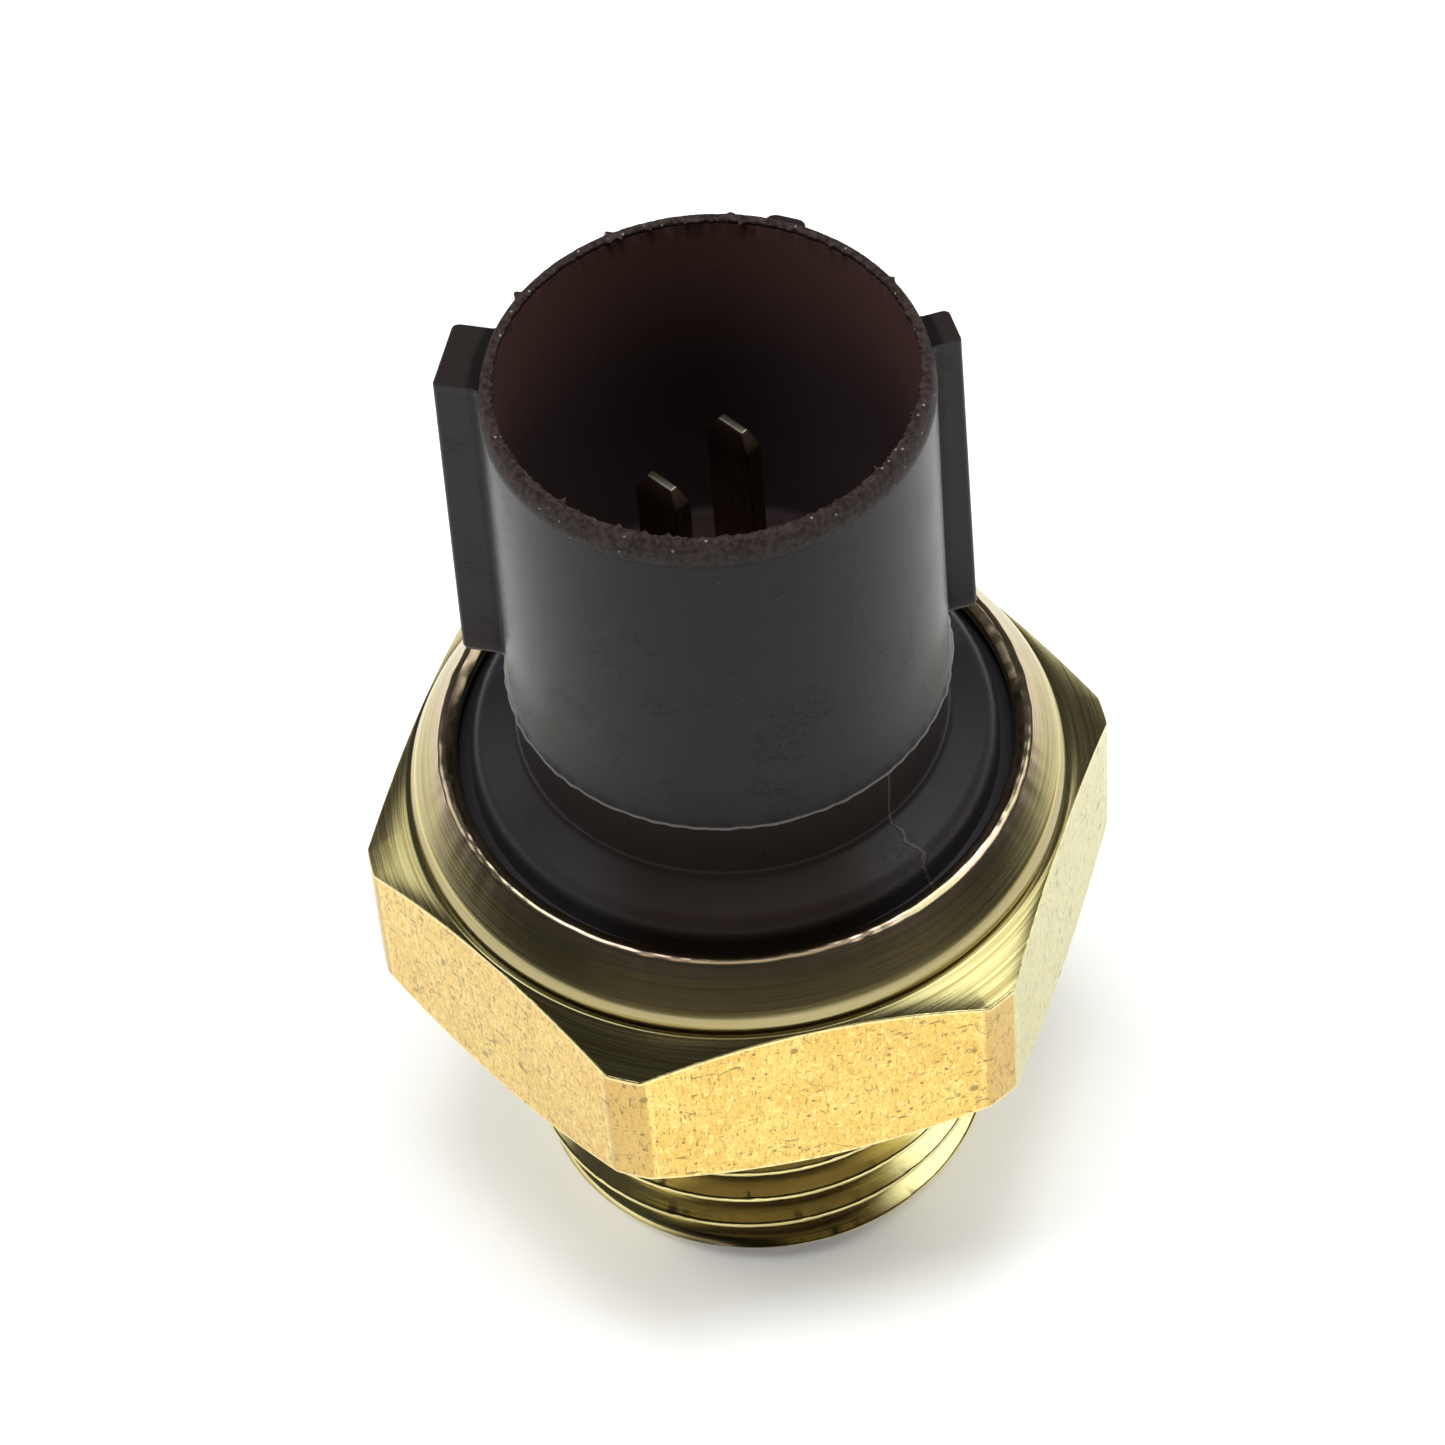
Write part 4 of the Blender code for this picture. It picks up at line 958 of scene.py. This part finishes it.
def socket_rows(count):
    """Rows from the socket floor's centre up the bore and over the rim, down to the keys' tops."""
    corners = [(0, SOCKET_FLOOR_Z, 0), (3.0, SOCKET_FLOOR_Z, 0), (BORE_R, SOCKET_FLOOR_Z, 0.3)]
    corners += [(6.40, 27.5, 0), (6.47, 31.8, 0), (6.52, 35.2, 0), (6.53, 35.9, 0)]
    corners += [(6.535, RIM_Z - 0.02, 0.03), (6.66, RIM_Z, 0.02)]
    corners += arc(RIM_ROUND_R, RIM_START_Z, RIM_ROUND_ACROSS, RIM_ROUND_DOWN, 82, 0, 10)
    return rounded_rows(corners, count, 2)


def keyed_rows():
    """Heights down the tube beside the keys, each with how far its columns reach out to a key: 0 to 1."""
    rows = [(KEY_TOP_Z, 0), (KEY_TOP_Z, 0.5), (KEY_TOP_Z, 0.90)]
    rows += [(KEY_TOP_Z - 0.03, 0.97), (KEY_TOP_Z - 0.12, 1.0)]
    rows += [(z, 1.0) for z in (35.36, 35.31, 35.28, 35.25, *np.linspace(35.2, 23.5, 9))]
    rows += [(FLASH_Z + 0.14, 1.0), (FLASH_Z + 0.04, 0.97), (FLASH_Z, 0.90), (FLASH_Z, 0.0)]
    return np.array(rows).T


def base_rows(count):
    """Rows from the flash line down the neck, ledge, flange and spigot, then up the pocket to its centre."""
    corners = [(TUBE_FOOT_R, FLARE_Z, 0.1), (FLASH_R, FLASH_Z + 0.06, 0.03), (FLASH_R, FLASH_Z, 0.02)]
    corners += [(7.06, FLASH_Z - 0.05, 0.03), (NECK_R, NECK_FOOT_Z, 0.12), (7.12, 20.40, 0.08)]
    corners += arc(LEDGE_ROUND_R, LEDGE_ROUND_Z, 0.75, 0.90, 75, 0, 10)
    corners += [
        (8.62, FLANGE_TOP_Z, 0.03),
        (FLANGE_R, FLANGE_TOP_Z, 0.08),
        (FLANGE_R, FLANGE_BOTTOM_Z, 0.08),
        (SPIGOT_R, FLANGE_BOTTOM_Z, 0.05),
        (SPIGOT_R, SPIGOT_END_Z, 0.15),
        (POCKET_WIDE_R, SPIGOT_END_Z, 0.08),
        (POCKET_WIDE_R, POCKET_WIDE_Z, 0.1),
        (POCKET_R, POCKET_WIDE_Z, 0.1),
        (POCKET_R, POCKET_Z, 0.1),
        (WELL_R, POCKET_Z, 0.05),
        (WELL_R, WELL_Z, 0.05),
        (0, WELL_Z, 0),
    ]
    return rounded_rows(corners, count, 3)


def tube_radius(z):
    """The tube's outer radius at a height, along its draft, its rounded top edge and its foot."""
    rounded = np.sqrt(np.clip(1 - ((z - RIM_START_Z) / RIM_ROUND_DOWN) ** 2, 0, 1))
    drafted = TUBE_FOOT_R + (TUBE_TOP_R - TUBE_FOOT_R) * (z - FLARE_Z) / (RIM_START_Z - FLARE_Z)
    flared = drafted + (FLASH_R - TUBE_FOOT_R) * ramp(z, FLARE_Z, -0.26)
    return np.where(z > RIM_START_Z, RIM_ROUND_R + RIM_ROUND_ACROSS * rounded, flared)


def bell(angles, middle, width):
    """1 at an angle, falling off on both sides of it over a width in radians."""
    away = (angles - middle + math.pi) % math.tau - math.pi
    return np.exp(-((away / width) ** 2))


def burrs(angles, seed, number, width, size):
    """Small crests at random places round the rim: a bell of random size at each."""
    random = np.random.default_rng(seed)
    total = np.zeros_like(angles)
    for middle, scale in zip(random.uniform(0, math.tau, number), random.exponential(size, number)):
        total += np.minimum(scale, 3 * size) * bell(angles, middle, width)
    return total


def roughen_rim(rows, angles):
    """Tears the rim's inner edge, lets its top sink by small waves and leaves burrs on its outer edge."""
    rim = ramp(rows[..., 1], RIM_Z - 0.22, 0.15)
    inner_edge = rim * ramp(rows[..., 0], RIM_MIDDLE_R, -0.05)
    torn = waves(angles, 11, range(20, 200, 6), 0.032) + burrs(angles, 12, 80, 0.009, 0.060)
    rows[..., 0] -= inner_edge * torn
    rows[..., 1] -= rim * np.abs(waves(angles, 13, range(5, 160, 5), 0.016))
    outer_edge = rim * ramp(rows[..., 0], RIM_MIDDLE_R + 0.15, 0.05)
    for middle, size in RIM_BURRS:
        rows[..., 0] += outer_edge * size * bell(angles, math.radians(middle), 0.013)


columns = key_columns()
column_angle = np.radians(columns[:, 0]) + columns[:, 1] / TUBE_R

upper = socket_rows(len(columns))
roughen_rim(upper, column_angle)
# The round of the rim ends at the keys' tops, where the keyed rows take over.
before_round = np.arange(len(upper)) < np.argmax(upper[:, 0, 0] > RIM_MIDDLE_R)
upper = upper[before_round | (upper[:, 0, 1] > KEY_TOP_Z + 0.02)]

z_keyed, reach_keyed = keyed_rows()
middle = np.stack([tube_radius(z_keyed), z_keyed], -1)[:, None, :].repeat(len(columns), 1)
lower = base_rows(len(columns))
lower = lower[lower[:, 0, 1] < FLASH_Z - 1e-6]

rows = np.concatenate([upper, middle, lower])
keyed = np.concatenate([np.zeros(len(upper)), reach_keyed, np.zeros(len(lower))])
flash = (np.abs(rows[..., 1] - FLASH_Z) < 0.05) * (rows[..., 0] > FLASH_R - 0.1)
rows[..., 0] += flash * waves(column_angle, 14, range(8, 90, 5), 0.015)
housing = welded_object("housing_moulding", [housing_grid(rows, keyed, columns)], plastic_finish())
keep_flats(housing)
place(housing, "switch_body", "brown_plastic", "connector_housing")


# Stage
# A white floor with a little light of its own, under a grey horizon and a dark ceiling. Square lights
# stand on the right, behind and on the left, with a small one overhead that brightens the lip's crest.
# Three more fill the shadows and are hidden from reflections.

VIEW_HEIGHT = math.radians(50.485)
VIEW_ROLL = math.radians(-4.393)
VIEW_PLACE = (-19.267, -119.570, 166.364)
VIEW_LENS = 146.025
VIEW_SENSOR = 36.0
VIEW_SHIFT = (-0.01949480969, -0.00076124567)
FLOOR_HALF = 3.0
LIGHT_AIM = (0, 0, 0.015)
BOX_DISTANCE = 0.60
FILL_DISTANCE = 1.0
FILL_SIZE = (0.42, 0.42)
FILL_COLOUR = (1.0, 1.0, 1.0)


def floor():
    """A wide flat square at the height where the stem ends."""
    corners = [(x * FLOOR_HALF, y * FLOOR_HALF, 0) for x, y in ((-1, -1), (1, -1), (1, 1), (-1, 1))]
    mesh = bpy.data.meshes.new("floor")
    mesh.from_pydata(corners, [], [(0, 1, 2, 3)])
    f = Finish("floor_paper", Emission_Strength=0.18, Emission_Color=rgb(1, 1, 1))
    tone = f.shade.noise(f.place, 0.02, 2.0)
    white = tone.step(0.3, 0.7).blend(rgb(0.86, 0.86, 0.86), rgb(0.88, 0.88, 0.88))
    mesh.materials.append(f.apply(white, 0.8, tone, 0.001))
    obj = bpy.data.objects.new("floor", mesh)
    bpy.context.scene.collection.objects.link(obj)


def soft_box(name, turn, height, distance, size, strength, colour):
    """A rectangular light that faces the switch from a turn and a height in degrees."""
    lamp = bpy.data.lights.new(name, "AREA")
    lamp.shape = "RECTANGLE"
    lamp.size, lamp.size_y = size
    lamp.energy = strength * math.pi * size[0] * size[1]
    lamp.color = colour
    obj = bpy.data.objects.new(name, lamp)
    bpy.context.scene.collection.objects.link(obj)
    turned = Matrix.Rotation(math.radians(turn), 4, "Z")
    turned = turned @ Matrix.Rotation(math.radians(90 - height), 4, "Y")
    obj.matrix_world = Matrix.Translation(LIGHT_AIM) @ turned @ Matrix.Translation((0, 0, distance))
    return obj


def surroundings():
    """A grey horizon, a little brighter towards -Y, falling to a dark ceiling."""
    world = bpy.data.worlds.new("studio")
    bpy.context.scene.world = world
    world.use_nodes = True
    shade = Shade(world.node_tree)
    way = shade.node("TexCoord")
    up = shade.node("SeparateXYZ", None, {0: way}, 2)
    toward = shade.node("SeparateXYZ", None, {0: way}, 1)
    low = up.step(0.0, 0.16).blend(rgb(0.28, 0.29, 0.30), rgb(0.045, 0.045, 0.047))
    front = (1 - toward.step(-0.8, -0.3)) * (1 - up.step(0.10, 0.72))
    low = (front * 0.6).blend(low, rgb(0.30, 0.28, 0.25))
    colour = up.step(0.30, 0.62).blend(low, rgb(0.035, 0.035, 0.035))
    world.node_tree.links.new(colour.socket, world.node_tree.nodes["Background"].inputs["Color"])


floor()
surroundings()
for name, turn, height, size, strength, colour in (
    ("right_box", -4, 54, (0.32, 0.40), 1.5, (0.96, 1.0, 1.0)),
    ("right_low_box", 22, 35, (0.12, 0.14), 1.3, (0.97, 1.0, 1.0)),
    ("back_right_box", 36, 66, (0.20, 0.20), 2.6, (0.82, 0.90, 1.0)),
    ("left_box", 126, 67, (0.20, 0.20), 2.4, (0.82, 0.90, 1.0)),
    ("left_low_box", 137, 32, (0.20, 0.22), 0.9, (0.96, 0.98, 1.0)),
    ("crest_card", -99, 84, (0.18, 0.30), 0.6, (1.0, 0.96, 0.92)),
):
    soft_box(name, turn, height, BOX_DISTANCE, size, strength, colour)
for name, turn, height, strength in (
    ("top_fill", -99, 89, 10.5),
    ("left_fill", 180, 56, 8.0),
    ("right_fill", -12, 60, 4.2),
):
    fill = soft_box(name, turn, height, FILL_DISTANCE, FILL_SIZE, strength, FILL_COLOUR)
    fill.visible_glossy = False

camera = bpy.data.cameras.new("camera")
camera.lens = VIEW_LENS
camera.sensor_width = VIEW_SENSOR
camera.shift_x, camera.shift_y = VIEW_SHIFT
viewer = bpy.data.objects.new("camera", camera)
bpy.context.scene.collection.objects.link(viewer)
tilt = Matrix.Rotation(math.pi / 2 - VIEW_HEIGHT, 4, "X")
looking = Matrix.Rotation(VIEW_TURN, 4, "Z") @ tilt @ Matrix.Rotation(VIEW_ROLL, 4, "Z")
viewer.matrix_world = Matrix.Translation([c * MM for c in VIEW_PLACE]) @ looking
bpy.context.scene.camera = viewer
